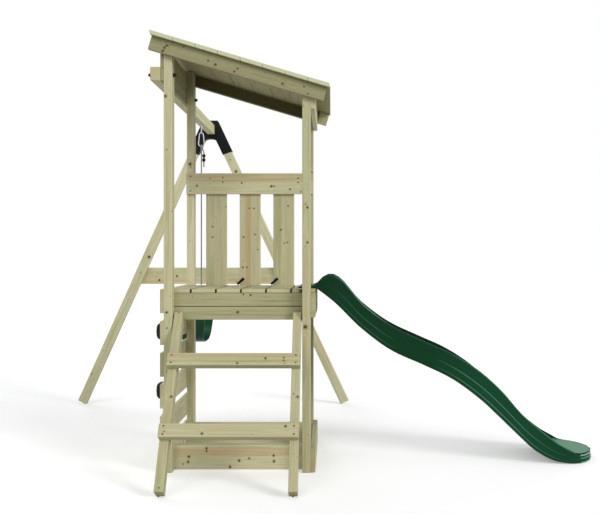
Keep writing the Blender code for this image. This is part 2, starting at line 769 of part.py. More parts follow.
def build_slide(parts):
    """A moulded wave slide, lofted along X from its lip on the deck to its rounded end."""
    deck = DECK_TOP + GAP
    edge = RIGHT + GAP + SIDE_BOARD_T
    start = edge - SLIDE_LIP
    lip_top = deck + SLIDE_LIP_T
    def point(along, up):
        """A point of the side view, as shares of the run and of the deck's height."""
        return edge + along * (SLIDE_END - edge), up * DECK_TOP

    under = [
        (edge + 0.001, deck),
        point(0.0316, 0.9635),
        point(0.0675, 0.9168),
        point(0.1568, 0.7759),
        point(0.2682, 0.6440),
        point(0.3796, 0.5629),
        point(0.4771, 0.4868),
        point(0.5809, 0.3661),
        point(0.6961, 0.1927),
        point(0.7817, 0.0680),
        point(0.8540, 0.0122),
        point(0.9106, 0.0010),
        point(1.0000, 0.0005),
    ]
    rim = [
        (edge - 0.030, lip_top),
        point(-0.0018, 1.0193),
        point(0.0247, 1.0598),
        point(0.0524, 1.0771),
        point(0.0813, 1.0588),
        point(0.1662, 0.9097),
        point(0.2801, 0.7759),
        point(0.3865, 0.6957),
        point(0.4828, 0.6258),
        point(0.5709, 0.5375),
        point(0.6533, 0.4209),
        point(0.7326, 0.2759),
        point(0.8257, 0.1521),
        point(0.8559, 0.1166),
        point(0.8867, 0.0892),
        point(0.9106, 0.0680),
        point(0.9257, 0.0558),
        point(1.0000, 0.0548),
    ]
    bed = [
        (edge - 0.030, lip_top),
        point(0.0247, 1.0000),
        point(0.0675, 0.9574),
        point(0.1568, 0.8235),
        point(0.2682, 0.6927),
        point(0.3796, 0.6105),
        point(0.4771, 0.5345),
        point(0.5809, 0.4138),
        point(0.6961, 0.2414),
        point(0.7817, 0.1197),
        point(0.8540, 0.0710),
        point(0.9106, 0.0558),
        point(1.0000, 0.0538),
    ]
    flat = [start, edge - 0.030, edge + 0.001]
    step = (SLIDE_END - flat[-1]) / SLIDE_STATIONS
    nose = [SLIDE_END - SLIDE_NOSE * share for share in (0.17, 0.085, 0.035, 0.01)]
    stations = flat + [flat[-1] + step * i for i in range(1, SLIDE_STATIONS)] + nose
    stations = sorted(stations) + [SLIDE_END]
    shape = bmesh.new()
    rings = []
    for x in stations:
        past = max(0.0, (x - (SLIDE_END - SLIDE_NOSE)) / SLIDE_NOSE)
        half = SLIDE_W / 2 * math.sqrt(max(1 - past**2.3, 0.06))
        low, top, floor = height_at(under, x), height_at(rim, x), height_at(bed, x)
        wide, tall, height = half - SLIDE_RIM, top - floor, top - low
        side = (
            (half - 0.014, low),
            (half - 0.002, low + 0.04 * height),
            (half, low + 0.07 * height),
            (half, low + 0.11 * height),
            (half - 0.006, low + 0.145 * height),
            (half - 0.006, low + 0.50 * height),
            (half - 0.012, low + 0.545 * height),
            (half - 0.012, top - 0.30 * tall),
            (half - 0.004, top - 0.22 * tall),
            (half - 0.003, top - 0.08 * tall),
            (half - 0.008, top),
            (wide + 0.008, top),
            (wide, top - 0.005),
            (wide - 0.10 * tall, floor + 0.30 * tall),
            (wide - 0.14 * tall - 0.008, floor + 0.08 * tall),
            (wide - 0.18 * tall - 0.024, floor),
        )
        ring = [(y, z) for y, z in side] + [(-y, z) for y, z in reversed(side)]
        rings.append([shape.verts.new((x, MIDDLE_Y + y, z)) for y, z in ring])
    count = len(rings[0])
    for ring, after in zip(rings, rings[1:]):
        for i in range(count):
            j = (i + 1) % count
            shape.faces.new((ring[i], ring[j], after[j], after[i]))
    shape.faces.new(list(reversed(rings[0])))
    shape.faces.new(rings[-1])
    bmesh.ops.recalc_face_normals(shape, faces=shape.faces)
    slide = add_mesh("slide", shape, GREEN_PLASTIC, parts)
    slide.data.shade_smooth()
    slide.data.set_sharp_from_angle(angle=math.radians(35))


def main():
    parts = new_collection("play_tower")
    cutters = new_collection("cutters", hidden=True)
    build_posts(parts)
    build_deck(parts)
    build_ground_boards(parts)
    build_climbing_wall(parts)
    build_guard(parts)
    build_roof(parts)
    build_ladder(parts)
    build_swing_frame(parts, cutters)
    build_swing(parts, cutters)
    build_slide(parts)


clear_scene()
WOOD = new_material("treated_pine", (0.52, 0.49, 0.30), 0.7)
BLACK_PLASTIC = new_material("black_plastic", (0.012, 0.014, 0.014), 0.45)
GREEN_PLASTIC = new_material("green_plastic", (0.012, 0.075, 0.032), 0.35)
STEEL = new_material("galvanised_steel", (0.55, 0.56, 0.56), 0.4, 0.9)
ROPE = new_material("grey_rope", (0.20, 0.21, 0.24), 0.85)
main()
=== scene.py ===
"""Dresses the play tower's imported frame: treated pine, moulded plastic, steel and rope.

Every length is in metres, in the part's own frame: the origin is the centre of the front
left post's foot, +X points to the slide, +Y to the swing's frame and +Z up.
"""

from __future__ import annotations

import json
import logging
import math
import random
from dataclasses import dataclass, field
from enum import Enum
from typing import Any, Iterable, Optional, Sequence, Union

import bmesh
import bpy
from mathutils import Euler, Matrix, Vector

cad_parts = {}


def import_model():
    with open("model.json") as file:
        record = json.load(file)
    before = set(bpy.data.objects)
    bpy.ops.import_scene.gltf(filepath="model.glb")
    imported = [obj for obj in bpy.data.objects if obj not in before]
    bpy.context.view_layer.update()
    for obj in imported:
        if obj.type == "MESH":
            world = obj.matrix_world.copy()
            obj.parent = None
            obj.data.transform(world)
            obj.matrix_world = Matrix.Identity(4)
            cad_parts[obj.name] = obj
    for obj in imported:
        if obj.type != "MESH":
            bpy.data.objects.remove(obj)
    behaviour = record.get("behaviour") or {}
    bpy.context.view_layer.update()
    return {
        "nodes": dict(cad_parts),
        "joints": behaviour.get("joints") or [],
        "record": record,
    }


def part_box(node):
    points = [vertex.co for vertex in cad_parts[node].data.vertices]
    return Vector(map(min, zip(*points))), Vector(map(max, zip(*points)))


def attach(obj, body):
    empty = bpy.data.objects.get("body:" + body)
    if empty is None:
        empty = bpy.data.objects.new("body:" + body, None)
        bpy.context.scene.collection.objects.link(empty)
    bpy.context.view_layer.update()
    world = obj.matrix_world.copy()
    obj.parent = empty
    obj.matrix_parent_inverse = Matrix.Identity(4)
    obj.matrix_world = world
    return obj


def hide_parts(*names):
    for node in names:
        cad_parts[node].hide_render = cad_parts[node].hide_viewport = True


LOG = logging.getLogger("play_tower")

LADDER_LEAN = math.radians(33.0)
ROOF_SLOPE = math.radians(16.5)
POSTS_X = (0.0, 0.745)
POSTS_Y = (0.0, 0.72)
RIM_WIDTH = 0.030
LIP_HEIGHT = 0.016

Colour = tuple[float, float, float]
Point = tuple[float, float, float]
Stops = Sequence[tuple[float, Colour]]
Spot = tuple[Vector, Vector]
Value = Union["Signal", float]


class Body(Enum):
    """The two bodies of the part."""

    TOWER = "tower"
    SWING = "swing"


class Slot(Enum):
    """The record's material slots."""

    PINE = "pine"
    BLACK = "black_plastic"
    GREEN = "green_plastic"
    STEEL = "steel"
    ROPE = "rope"


def paint(red: int, green: int, blue: int) -> Colour:
    """Turns a colour as a screen shows it into the linear one a shader takes.

    Args:
        red: Red, from 0 to 255.
        green: Green, from 0 to 255.
        blue: Blue, from 0 to 255.

    Returns:
        The linear colour.
    """

    def linear(part: int) -> float:
        """One channel, made linear."""
        share = part / 255
        return share / 12.92 if share <= 0.04045 else ((share + 0.055) / 1.055) ** 2.4

    return linear(red), linear(green), linear(blue)


# Shader maths


class Signal:
    """One output of a shader node, used in Python expressions."""

    def __init__(self, shader: Shader, socket: Any) -> None:
        """Keeps the output and the shader it belongs to."""
        self.shader, self.socket = shader, socket

    def maths(self, operation: str, *others: Value) -> Signal:
        """Adds one Math node that starts from this signal."""
        return self.shader.maths(operation, self, *others)

    def __add__(self, other: Value) -> Signal:
        """The sum."""
        return self.maths("ADD", other)

    __radd__ = __add__

    def __sub__(self, other: Value) -> Signal:
        """The difference."""
        return self.maths("SUBTRACT", other)

    def __rsub__(self, other: float) -> Signal:
        """A number less this signal."""
        return self.shader.maths("SUBTRACT", other, self)

    def __mul__(self, other: Value) -> Signal:
        """The product."""
        return self.maths("MULTIPLY", other)

    __rmul__ = __mul__

    def __truediv__(self, other: Value) -> Signal:
        """The quotient."""
        return self.maths("DIVIDE", other)

    def fract(self) -> Signal:
        """The part after the point."""
        return self.maths("FRACT")

    def absolute(self) -> Signal:
        """The size without its sign."""
        return self.maths("ABSOLUTE")

    def least(self, other: Value) -> Signal:
        """The lesser of two."""
        return self.maths("MINIMUM", other)

    def most(self, other: Value) -> Signal:
        """The greater of two."""
        return self.maths("MAXIMUM", other)

    def hypot(self, other: Signal) -> Signal:
        """The length of the diagonal of two sides."""
        return (self * self + other * other).maths("SQRT")

    def rise(self, low: float, high: float) -> Signal:
        """A smooth step from 0 at low to 1 at high, which may be the lesser."""
        inputs = {"Value": self, "From Min": low, "From Max": high}
        return self.shader.node("ShaderNodeMapRange", {"interpolation_type": "SMOOTHSTEP"}, inputs)


class Shader:
    """A node tree under construction, and the shorthand for its nodes."""

    def __init__(self, name: str, world: Optional[bpy.types.World] = None) -> None:
        """Starts an empty tree.

        Args:
            name: The name of a new material.
            world: The world whose tree it is, in place of a material.
        """
        self.owner = world or bpy.data.materials.new(name)
        self.owner.use_nodes = True
        self.tree = self.owner.node_tree
        self.tree.nodes.clear()

    def node(
        self,
        kind: str,
        settings: Optional[dict[str, Any]] = None,
        inputs: Optional[dict[Union[str, int], Any]] = None,
        output: Union[str, int] = 0,
    ) -> Signal:
        """Adds any node.

        Args:
            kind: The node's type.
            settings: Its settings, set before its inputs, with "stops" for a ramp.
            inputs: A value or a signal for each named or numbered input.
            output: The output to hand back.

        Returns:
            That output.
        """
        made = self.tree.nodes.new(kind)
        for name, value in (settings or {}).items():
            if name == "stops":
                self.set_stops(made.color_ramp, value)
            else:
                setattr(made, name, value)
        for name, value in (inputs or {}).items():
            socket = made.inputs[name]
            if isinstance(value, Signal):
                self.tree.links.new(value.socket, socket)
            elif isinstance(value, tuple) and len(value) == 3 and socket.type == "RGBA":
                socket.default_value = (*value, 1.0)
            else:
                socket.default_value = value
        return Signal(self, made.outputs[output])

    @staticmethod
    def set_stops(ramp: Any, stops: Stops) -> None:
        """Writes a colour ramp's stops.

        Args:
            ramp: The node's ramp.
            stops: Each stop's place and colour, in order.
        """
        while len(ramp.elements) < len(stops):
            ramp.elements.new(1.0)
        for element, (place, colour) in zip(ramp.elements, stops):
            element.position = place
            element.color = (*colour, 1.0)

    def maths(self, operation: str, *values: Value) -> Signal:
        """Adds one Math node with its inputs in order."""
        return self.node("ShaderNodeMath", {"operation": operation}, dict(enumerate(values)))

    def place(self) -> Signal:
        """The surface point in the part's frame."""
        return self.node("ShaderNodeTexCoord", output="Object")

    def seen(self) -> Signal:
        """Tells a camera's rays, straight or by way of gloss or glass, from the others.

        Returns:
            1 for those rays, and else 0.
        """
        names = ("Is Camera Ray", "Is Glossy Ray", "Is Transmission Ray")
        straight, gloss, glass = (self.node("ShaderNodeLightPath", output=n) for n in names)
        return straight.most(gloss).most(glass)

    def mapped(
        self,
        point: Signal,
        shift: Point = (0, 0, 0),
        turn: Point = (0, 0, 0),
        stretch: Point = (1, 1, 1),
    ) -> Signal:
        """Stretches a point, turns it about the axes, and then shifts it."""
        inputs = {"Vector": point, "Location": shift, "Rotation": turn, "Scale": stretch}
        return self.node("ShaderNodeMapping", {"vector_type": "POINT"}, inputs)

    def split(self, point: Signal) -> tuple[Signal, Signal, Signal]:
        """Takes a point or a colour apart.

        Args:
            point: The point.

        Returns:
            Its three coordinates.
        """
        made = self.tree.nodes.new("ShaderNodeSeparateXYZ")
        self.tree.links.new(point.socket, made.inputs[0])
        return tuple(Signal(self, output) for output in made.outputs)

    def noise(
        self, point: Signal, scale: float, detail: float = 2.0, rough: float = 0.5
    ) -> Signal:
        """Cloudy noise of about 0 to 1, with so many finer layers, each so rough."""
        inputs = {"Vector": point, "Scale": scale, "Detail": detail, "Roughness": rough}
        return self.node("ShaderNodeTexNoise", {"noise_dimensions": "3D"}, inputs)

    def ramp(self, value: Signal, stops: Stops) -> Signal:
        """A colour that follows a signal through the stops."""
        return self.node("ShaderNodeValToRGB", {"stops": stops}, {0: value})

    def lay(
        self, share: Value, under: Union[Signal, Colour], over: Union[Signal, Colour]
    ) -> Signal:
        """Lays a share of one colour over another."""
        settings = {"data_type": "RGBA", "blend_type": "MIX"}
        return self.node("ShaderNodeMix", settings, {0: share, 6: under, 7: over}, 2)

    def bump(self, height: Signal, depth: float, strength: float = 1.0) -> Signal:
        """A normal from a height of 0 to 1, where 1 stands for the depth."""
        inputs = {"Height": height, "Distance": depth, "Strength": strength}
        return self.node("ShaderNodeBump", None, inputs)

    def end(self, surface: Signal, kind: str = "ShaderNodeOutputMaterial") -> None:
        """Joins the last shader to the tree's output."""
        output = self.tree.nodes.new(kind)
        self.tree.links.new(surface.socket, output.inputs["Surface"])

    def finish(self, inputs: dict[str, Any]) -> bpy.types.Material:
        """Ends the material in one Principled shader with these inputs."""
        self.end(self.node("ShaderNodeBsdfPrincipled", None, inputs))
        return self.owner


# Finishes


@dataclass(frozen=True)
class Knot:
    """A branch cut through in a timber's face."""

    at: Point
    size: float = 0.0055


@dataclass(frozen=True)
class Band:
    """A stripe of heartwood or a fade of painted shade, from one share of a timber's half size to
    another.
    """

    low: float
    high: float
    depth: float


@dataclass(frozen=True)
class PineCut:
    """How one timber was sawn from its log, its wear, and the light and shade painted on it.

    Attributes:
        node: The CAD node.
        along: The grain's direction.
        wide: The direction of its broader face.
        centre: Its middle.
        half: Half its length, width and thickness.
        pith: The log's heart, across and out from the timber's middle.
        seed: Where its patterns are read.
        tone: The share of the usual colour: random, and for some timbers with painted light and
            shade in it.
        warmth: How much of the heartwood's colour shows.
        band: A stripe of heartwood along its width.
        knots: The knots it is known to have.
        edges: The widths of the painted shade in the seams at its two edges.
        corner: Where a painted shadow lies on its sawn end, in from its upper edge.
        dim: A painted shade along its length.
        dim_face: The side of its thickness that the painted shade keeps to, or 0 for all.
        end: The colour of its sawn ends.
        end_share: How much of that colour shows.
    """

    node: str
    along: Point
    wide: Point
    centre: Point
    half: Point
    pith: tuple[float, float]
    seed: float
    tone: float = 1.0
    warmth: float = 0.5
    band: Optional[Band] = None
    knots: tuple[Knot, ...] = ()
    edges: tuple[float, float] = (0.0, 0.0)
    corner: Optional[tuple[float, float]] = None
    dim: Optional[Band] = None
    dim_face: float = 0.0
    end: Colour = paint(150, 138, 92)
    end_share: float = 0.35

    def axes(self) -> Matrix:
        """The turn from the part's frame into the timber's own."""
        along, wide = Vector(self.along), Vector(self.wide)
        return Matrix((along, wide, along.cross(wide)))

    def inside(self, point: Point) -> Vector:
        """A point of the part's frame in the timber's own."""
        return self.axes() @ (Vector(point) - Vector(self.centre))

    def outward(self) -> tuple[float, float]:
        """The direction from the pith to the timber's middle, as shares of wide and thick."""
        length = math.hypot(*self.pith)
        return -self.pith[0] / length, -self.pith[1] / length

    def bearing(self, up: float, out: float) -> float:
        """The angle of a point of the timber's section about the pith.

        Args:
            up: The point's place across the timber.
            out: Its place through the timber.

        Returns:
            The angle.
        """
        a, b = self.outward()
        y, z = up - self.pith[0], out - self.pith[1]
        return math.atan2(y * b - z * a, y * a + z * b)

    def toned(self, colour: Colour) -> Colour:
        """A colour at this timber's tone, which for some timbers holds painted light and shade."""
        shade = (self.tone, self.tone, self.tone**1.25)
        return tuple(min(part * share, 1.0) for part, share in zip(colour, shade))


@dataclass(frozen=True)
class WoodMaps:
    """Where a point lies in its timber, and the patterns that colour it there."""

    x: Signal
    y: Signal
    z: Signal
    sway: Signal
    streak: Signal
    patch: Signal
    fibre: Signal
    line: Signal
    fleck: Signal
    late: Signal
    core: Signal
    halo: Signal


@dataclass(frozen=True)
class Pine:
    """Planed and pressure-treated pine, pale green and yellow."""

    pale: Colour = paint(184, 184, 147)
    tan: Colour = paint(190, 181, 144)
    olive: Colour = paint(169, 166, 124)
    late: Colour = paint(128, 116, 72)
    heart: Colour = paint(172, 136, 88)
    green: Colour = paint(146, 164, 112)
    knot: Colour = paint(58, 42, 20)
    halo: Colour = paint(128, 106, 62)
    # Pale grain, also laid on the worn edges, where it is partly a painted arris highlight
    bright: Colour = paint(208, 205, 168)
    # Painted shade, laid in the seams between touching timbers and along the dim bands
    seam_shade: Colour = paint(70, 66, 34)
    # Painted shadow on the last deck board's sawn end
    corner_shadow: Colour = paint(14, 14, 8)
    ring: float = 0.0040
    knot_pitch: float = 0.24
    knot_sizes: tuple[float, float] = (0.0015, 0.0032)
    band_soft: float = 0.12
    # The worn edges' band: partly wear, partly a painted highlight where light catches the arris
    worn_and_lit_edge: tuple[float, ...] = (0.0016, 0.0028, 0.0030, 0.0070)
    # Where the chamfers are darkened as painted shade
    shaded_arris: tuple[float, float] = (0.0003, 0.0024)
    sawn_edge: tuple[float, float] = (0.0030, 0.0012)

    def knot_gap(self, shader: Shader, cut: PineCut, spot: tuple[Signal, ...]) -> Signal:
        """How far the surface is from the nearest knot, in knot sizes.

        Args:
            shader: The material.
            cut: The timber.
            spot: The length, the angle about the pith and the distance from it.

        Returns:
            The distance, 1 at a knot's rim.
        """
        x, angle, radius = spot
        cell = {"voronoi_dimensions": "1D", "feature": "F1"}
        pitch = {"W": x + cut.seed, "Scale": 1 / self.knot_pitch, "Randomness": 1.0}
        away = shader.node("ShaderNodeTexVoronoi", cell, pitch, "Distance") * self.knot_pitch
        tint = shader.node("ShaderNodeTexVoronoi", cell, pitch, "Color")
        red, green, _ = shader.split(tint)
        broad = cut.half[1] if abs(cut.pith[1]) > abs(cut.pith[0]) else cut.half[2]
        span = math.atan2(broad, math.hypot(*cut.pith))
        side = (angle - (red - 0.5) * 2 * span) * radius
        least, more = self.knot_sizes
        nearest = away.hypot(side) / (green * green * more + least)
        for knot in cut.knots:
            own = cut.inside(knot.at)
            side = (angle - cut.bearing(own.y, own.z)) * radius
            nearest = nearest.least((x - own.x).hypot(side) / knot.size)
        return nearest

    def maps(self, shader: Shader, cut: PineCut) -> WoodMaps:
        """Sets out the grain, the year rings and the knots of one timber.

        Args:
            shader: The material.
            cut: The timber.

        Returns:
            The patterns.
        """
        turn = cut.axes()
        shift = -(turn @ Vector(cut.centre))
        grain = shader.mapped(shader.place(), tuple(shift), tuple(turn.to_euler("XYZ")))
        x, y, z = shader.split(grain)
        up, out = y - cut.pith[0], z - cut.pith[1]
        radius = up.hypot(out)
        a, b = cut.outward()
        angle = shader.maths("ARCTAN2", up * b - out * a, up * a + out * b)
        move = (cut.seed * 3.1, cut.seed * 1.7, cut.seed)

        def drawn(along: float, across: float, detail: float = 2.0, rough: float = 0.6) -> Signal:
            """Noise drawn out along the grain."""
            point = shader.mapped(grain, move, stretch=(along, across, across))
            return shader.noise(point, 1.0, detail, rough)

        sway = drawn(1.6, 7, rough=0.5) - 0.5
        gap = self.knot_gap(shader, cut, (x, angle, radius + sway * 0.004))
        bulge = 1 - gap.rise(0.6, 6.0)
        years = ((radius + sway * 0.011 + bulge * 0.006) / self.ring).fract()
        return WoodMaps(
            x=x,
            y=y,
            z=z,
            sway=sway,
            streak=drawn(1.1, 30, 3.0),
            patch=drawn(2.2, 9, rough=0.5),
            fibre=drawn(14, 420, 3.0),
            line=drawn(2.4, 120, 3.0),
            fleck=drawn(40, 200),
            late=years.rise(0.25, 0.90) * (1 - years.rise(0.94, 1.0)),
            core=1 - gap.rise(0.72, 1.12),
            halo=1 - gap.rise(1.0, 2.4),
        )

    def clean(self, shader: Shader, cut: PineCut, maps: WoodMaps) -> Signal:
        """The clean wood, from its broad streaks down to its finest flecks.

        Args:
            shader: The material.
            cut: The timber.
            maps: Its patterns.

        Returns:
            The colour.
        """
        places = (0.32, 0.42, 0.52, 0.60, 0.70)
        tints = (self.olive, self.pale, self.tan, self.pale, self.olive)
        stops = [(place, cut.toned(tint)) for place, tint in zip(places, tints)]
        warm = (1 - maps.patch).rise(0.48, 0.75) * cut.warmth
        if cut.band:
            low, high, soft = cut.band.low, cut.band.high, self.band_soft
            across = (maps.y + maps.sway * 0.02) / cut.half[1]
            inside = across.rise(low - soft, low + soft)
            inside = inside * (1 - across.rise(high - soft, high + soft))
            warm = warm.most(inside * (maps.line * 0.8 + 0.6) * cut.band.depth)
        colour = shader.ramp(maps.streak, stops)
        for share, tint in (
            (maps.patch.rise(0.56, 0.80) * 0.45, self.green),
            (maps.late * 0.17, self.late),
            (maps.line.rise(0.52, 0.72) * 0.34, self.late),
            ((1 - maps.line).rise(0.56, 0.76) * 0.34, self.bright),
            (warm * 0.55, self.heart),
            (maps.fibre.rise(0.50, 0.84) * 0.30, self.late),
        ):
            colour = shader.lay(share, colour, cut.toned(tint))
        return shader.lay(maps.fleck.rise(0.66, 0.78) * 0.55, colour, self.halo)

    def marked(self, shader: Shader, cut: PineCut, maps: WoodMaps, colour: Signal) -> Signal:
        """Adds painted shade and shadow, the knots, worn edges with a painted highlight, and the
        sawn ends.

        Args:
            shader: The material.
            cut: The timber.
            maps: Its patterns.
            colour: The clean wood.

        Returns:
            The colour.
        """
        length, width, thick = cut.half
        # Painted shade along the timber
        if cut.dim:
            dark = (maps.x / length).rise(cut.dim.low, cut.dim.high) * cut.dim.depth
            if cut.dim_face:
                dark = dark * (maps.z * cut.dim_face).rise(0.6 * thick, 0.9 * thick)
            colour = shader.lay(dark, colour, self.seam_shade)
        colour = shader.lay(maps.halo * 0.50, colour, self.halo)
        colour = shader.lay(maps.core * 0.92, colour, self.knot)
        rim = (width - maps.y.absolute()) + (thick - maps.z.absolute())
        # Lightens a band inside each edge: wear, with a painted highlight on the arris
        worn = rim.rise(*self.worn_and_lit_edge[:2]) * (1 - rim.rise(*self.worn_and_lit_edge[2:]))
        colour = shader.lay(worn * 0.30, colour, cut.toned(self.bright))
        # Painted shade in the chamfers, where touching timbers meet
        colour = shader.lay((1 - rim.rise(*self.shaded_arris)) * 0.50, colour, self.seam_shade)
        sawn = maps.x.absolute().rise(*(length - edge for edge in self.sawn_edge))
        colour = shader.lay(sawn * cut.end_share, colour, cut.end)
        # Painted shadow on the sawn end, in from its upper edge
        if cut.corner:
            near, far = cut.corner
            inset = width - maps.y
            dark = inset.rise(near, near + 0.010) * (1 - inset.rise(far - 0.040, far)) * sawn
            colour = shader.lay(dark * 0.97, colour, self.corner_shadow)
        # Painted shade in the seams along some boards' edges
        for seam_shade, side in zip(cut.edges, (-1.0, 1.0)):
            if seam_shade:
                inset = width - maps.y * side
                dark = (1 - inset.rise(seam_shade * 0.7, seam_shade * 1.2)) * 0.85
                colour = shader.lay(dark, colour, self.seam_shade)
        return colour

    def material(self, cut: PineCut) -> bpy.types.Material:
        """The wood of one timber.

        Args:
            cut: How the timber was sawn.

        Returns:
            The material.
        """
        shader = Shader(f"pine_{cut.node}")
        maps = self.maps(shader, cut)
        colour = self.marked(shader, cut, maps, self.clean(shader, cut, maps))
        height = maps.fibre * 0.30 + maps.late * 0.40 + (1 - maps.core) * 0.30
        return shader.finish(
            {
                "Base Color": colour,
                "Roughness": maps.fibre * 0.16 + maps.late * 0.05 + 0.58,
                "Specular IOR Level": 0.22,
                "Normal": shader.bump(height, 0.0008, 0.6),
            }
        )


@dataclass(frozen=True)
class Moulded:
    """Moulded plastic with a fine grain and a few scuffs.

    Attributes:
        name: The material's name.
        colour: Its colour, where no run is given.
        worn: The colour of scuffs and dust.
        rough: Its mean roughness.
        grain: The frequency of its grain.
        peel: The grain's depth.
        scuff: How much the scuffs show.
        shine: Its specular level.
        along: How the scuffs are drawn out.
        run: Its colours along X, each with its place, which on the slide are painted light and
            shade.
        reach: The length that the run is measured in.
    """

    name: str
    colour: Colour
    worn: Colour
    rough: float
    grain: float = 700.0
    peel: float = 0.00010
    scuff: float = 0.10
    shine: float = 0.30
    along: Point = (1.0, 1.0, 1.0)
    run: Stops = ()
    reach: float = 2.4

    def material(self) -> bpy.types.Material:
        """The plastic.

        Returns:
            The material.
        """
        shader = Shader(self.name)
        point = shader.place()
        cloud = shader.noise(point, 6.0, 3.0, 0.6)
        drawn = shader.noise(shader.mapped(point, stretch=self.along), 60.0, 4.0, 0.65)
        pebble = shader.noise(point, self.grain, 2.0, 0.6)
        marks = drawn.rise(0.60, 0.78) * self.scuff
        dust = cloud.rise(0.50, 0.80) * 0.05
        base: Union[Signal, Colour] = self.colour
        # Painted light and shade along X, where the run is given
        if self.run:
            stops = [(x / self.reach, colour) for x, colour in self.run]
            base = shader.ramp(shader.split(point)[0] / self.reach, stops)
        colour = shader.lay(marks.most(dust), base, self.worn)
        return shader.finish(
            {
                "Base Color": colour,
                "Roughness": cloud * 0.10 + marks * 0.8 + pebble * 0.06 + (self.rough - 0.08),
                "Specular IOR Level": self.shine,
                "Normal": shader.bump(pebble, self.peel, 0.5),
            }
        )


@dataclass(frozen=True)
class Zinc:
    """Galvanised or plated steel with the faint flakes of its coat."""

    name: str
    pale: Colour
    dark: Colour
    rough: float
    flake: float = 260.0

    def material(self) -> bpy.types.Material:
        """The metal.

        Returns:
            The material.
        """
        shader = Shader(self.name)
        point = shader.place()
        cell = {"Vector": point, "Scale": self.flake}
        flake, _, _ = shader.split(shader.node("ShaderNodeTexVoronoi", None, cell, "Color"))
        stain = shader.noise(point, 90.0, 3.0, 0.6)
        colour = shader.lay(flake * 0.6, self.pale, self.dark)
        colour = shader.lay(stain.rise(0.52, 0.74) * 0.5, colour, self.dark)
        return shader.finish(
            {
                "Base Color": colour,
                "Metallic": 1.0,
                "Roughness": stain * 0.16 + flake * 0.08 + self.rough,
                "Normal": shader.bump(stain, 0.0001, 0.4),
            }
        )


@dataclass(frozen=True)
class Fibre:
    """Twisted synthetic rope."""

    name: str
    pale: Colour
    dark: Colour

    def material(self) -> bpy.types.Material:
        """The rope's yarn, lit along its fine filaments.

        Returns:
            The material.
        """
        shader = Shader(self.name)
        point = shader.place()
        hair = shader.noise(shader.mapped(point, stretch=(1, 1, 0.35)), 2600.0, 2.0, 0.6)
        cloud = shader.noise(point, 45.0, 2.0)
        colour = shader.lay(hair.rise(0.30, 0.70), self.dark, self.pale)
        colour = shader.lay(cloud * 0.20, colour, self.dark)
        return shader.finish(
            {
                "Base Color": colour,
                "Roughness": hair * 0.15 + 0.68,
                "Sheen Weight": 0.25,
                "Normal": shader.bump(hair, 0.00025, 0.7),
            }
        )


# Mesh helpers


def turned_to(direction: Vector, place: Vector) -> Matrix:
    """A frame at a place, whose Z axis points along a direction."""
    return Matrix.Translation(place) @ direction.to_track_quat("Z", "Y").to_matrix().to_4x4()


def linked(name: str, data: Any) -> bpy.types.Object:
    """Adds an object to the scene.

    Args:
        name: Its name.
        data: Its mesh, curve, camera or light.

    Returns:
        The object.
    """
    made = bpy.data.objects.new(name, data)
    bpy.context.scene.collection.objects.link(made)
    return made


def piece_of(
    name: str, shape: bmesh.types.BMesh, *finishes: bpy.types.Material
) -> bpy.types.Object:
    """Makes a bmesh an object of the scene.

    Args:
        name: The piece's name.
        shape: Its mesh, freed here.
        finishes: Its materials, in the order of the faces' numbers.

    Returns:
        The object, at the origin.
    """
    bmesh.ops.recalc_face_normals(shape, faces=shape.faces)
    mesh = bpy.data.meshes.new(name)
    shape.to_mesh(mesh)
    shape.free()
    for finish in finishes:
        mesh.materials.append(finish)
    return linked(name, mesh)


def smooth(piece: bpy.types.Object, angle: float) -> None:
    """Shades a piece smooth across edges blunter than an angle in degrees."""
    piece.data.shade_smooth()
    piece.data.set_sharp_from_angle(angle=math.radians(angle))


def rounded(piece: bpy.types.Object, width: float, angle: float) -> None:
    """Rounds a piece's hard edges.

    Args:
        piece: The object.
        width: The rounding's width.
        angle: The least angle of an edge that is rounded, in degrees.
    """
    rounding = piece.modifiers.new("rounding", "BEVEL")
    rounding.width, rounding.segments, rounding.limit_method = width, 3, "ANGLE"
    rounding.angle_limit = math.radians(angle)


def spun(
    shape: bmesh.types.BMesh,
    profile: Sequence[tuple[float, float]],
    place: Matrix,
    steps: int = 20,
) -> None:
    """Turns a profile about a frame's Z axis into the mesh.

    Args:
        shape: The mesh to add to.
        profile: Radius and height of each corner, from one pole to the other.
        place: The frame.
        steps: Segments of a full turn.
    """
    line = [shape.verts.new((radius, 0.0, height)) for radius, height in profile]
    edges = [shape.edges.new(pair) for pair in zip(line, line[1:])]
    before = set(shape.verts) - set(line)
    bmesh.ops.spin(
        shape,
        geom=line + edges,
        cent=(0, 0, 0),
        axis=(0, 0, 1),
        dvec=(0, 0, 0),
        angle=math.tau,
        steps=steps,
        use_merge=True,
        use_duplicate=False,
    )
    new = [v for v in shape.verts if v not in before]
    bmesh.ops.remove_doubles(shape, verts=new, dist=1e-6)
    new = [v for v in shape.verts if v not in before]
    bmesh.ops.transform(shape, matrix=place, verts=new)


def merged_copy(node: bpy.types.Object, quads: bool = True) -> bmesh.types.BMesh:
    """Copies a CAD node's mesh and closes its loose triangles.

    Args:
        node: The CAD object.
        quads: Whether triangle pairs become quads.

    Returns:
        The mesh.
    """
    shape = bmesh.new()
    shape.from_mesh(node.data)
    bmesh.ops.remove_doubles(shape, verts=shape.verts, dist=2e-6)
    if quads:
        bmesh.ops.join_triangles(
            shape,
            faces=shape.faces,
            angle_face_threshold=math.radians(40),
            angle_shape_threshold=math.radians(60),
        )
    LOG.info("%s: %d faces after merging", node.name, len(shape.faces))
    return shape


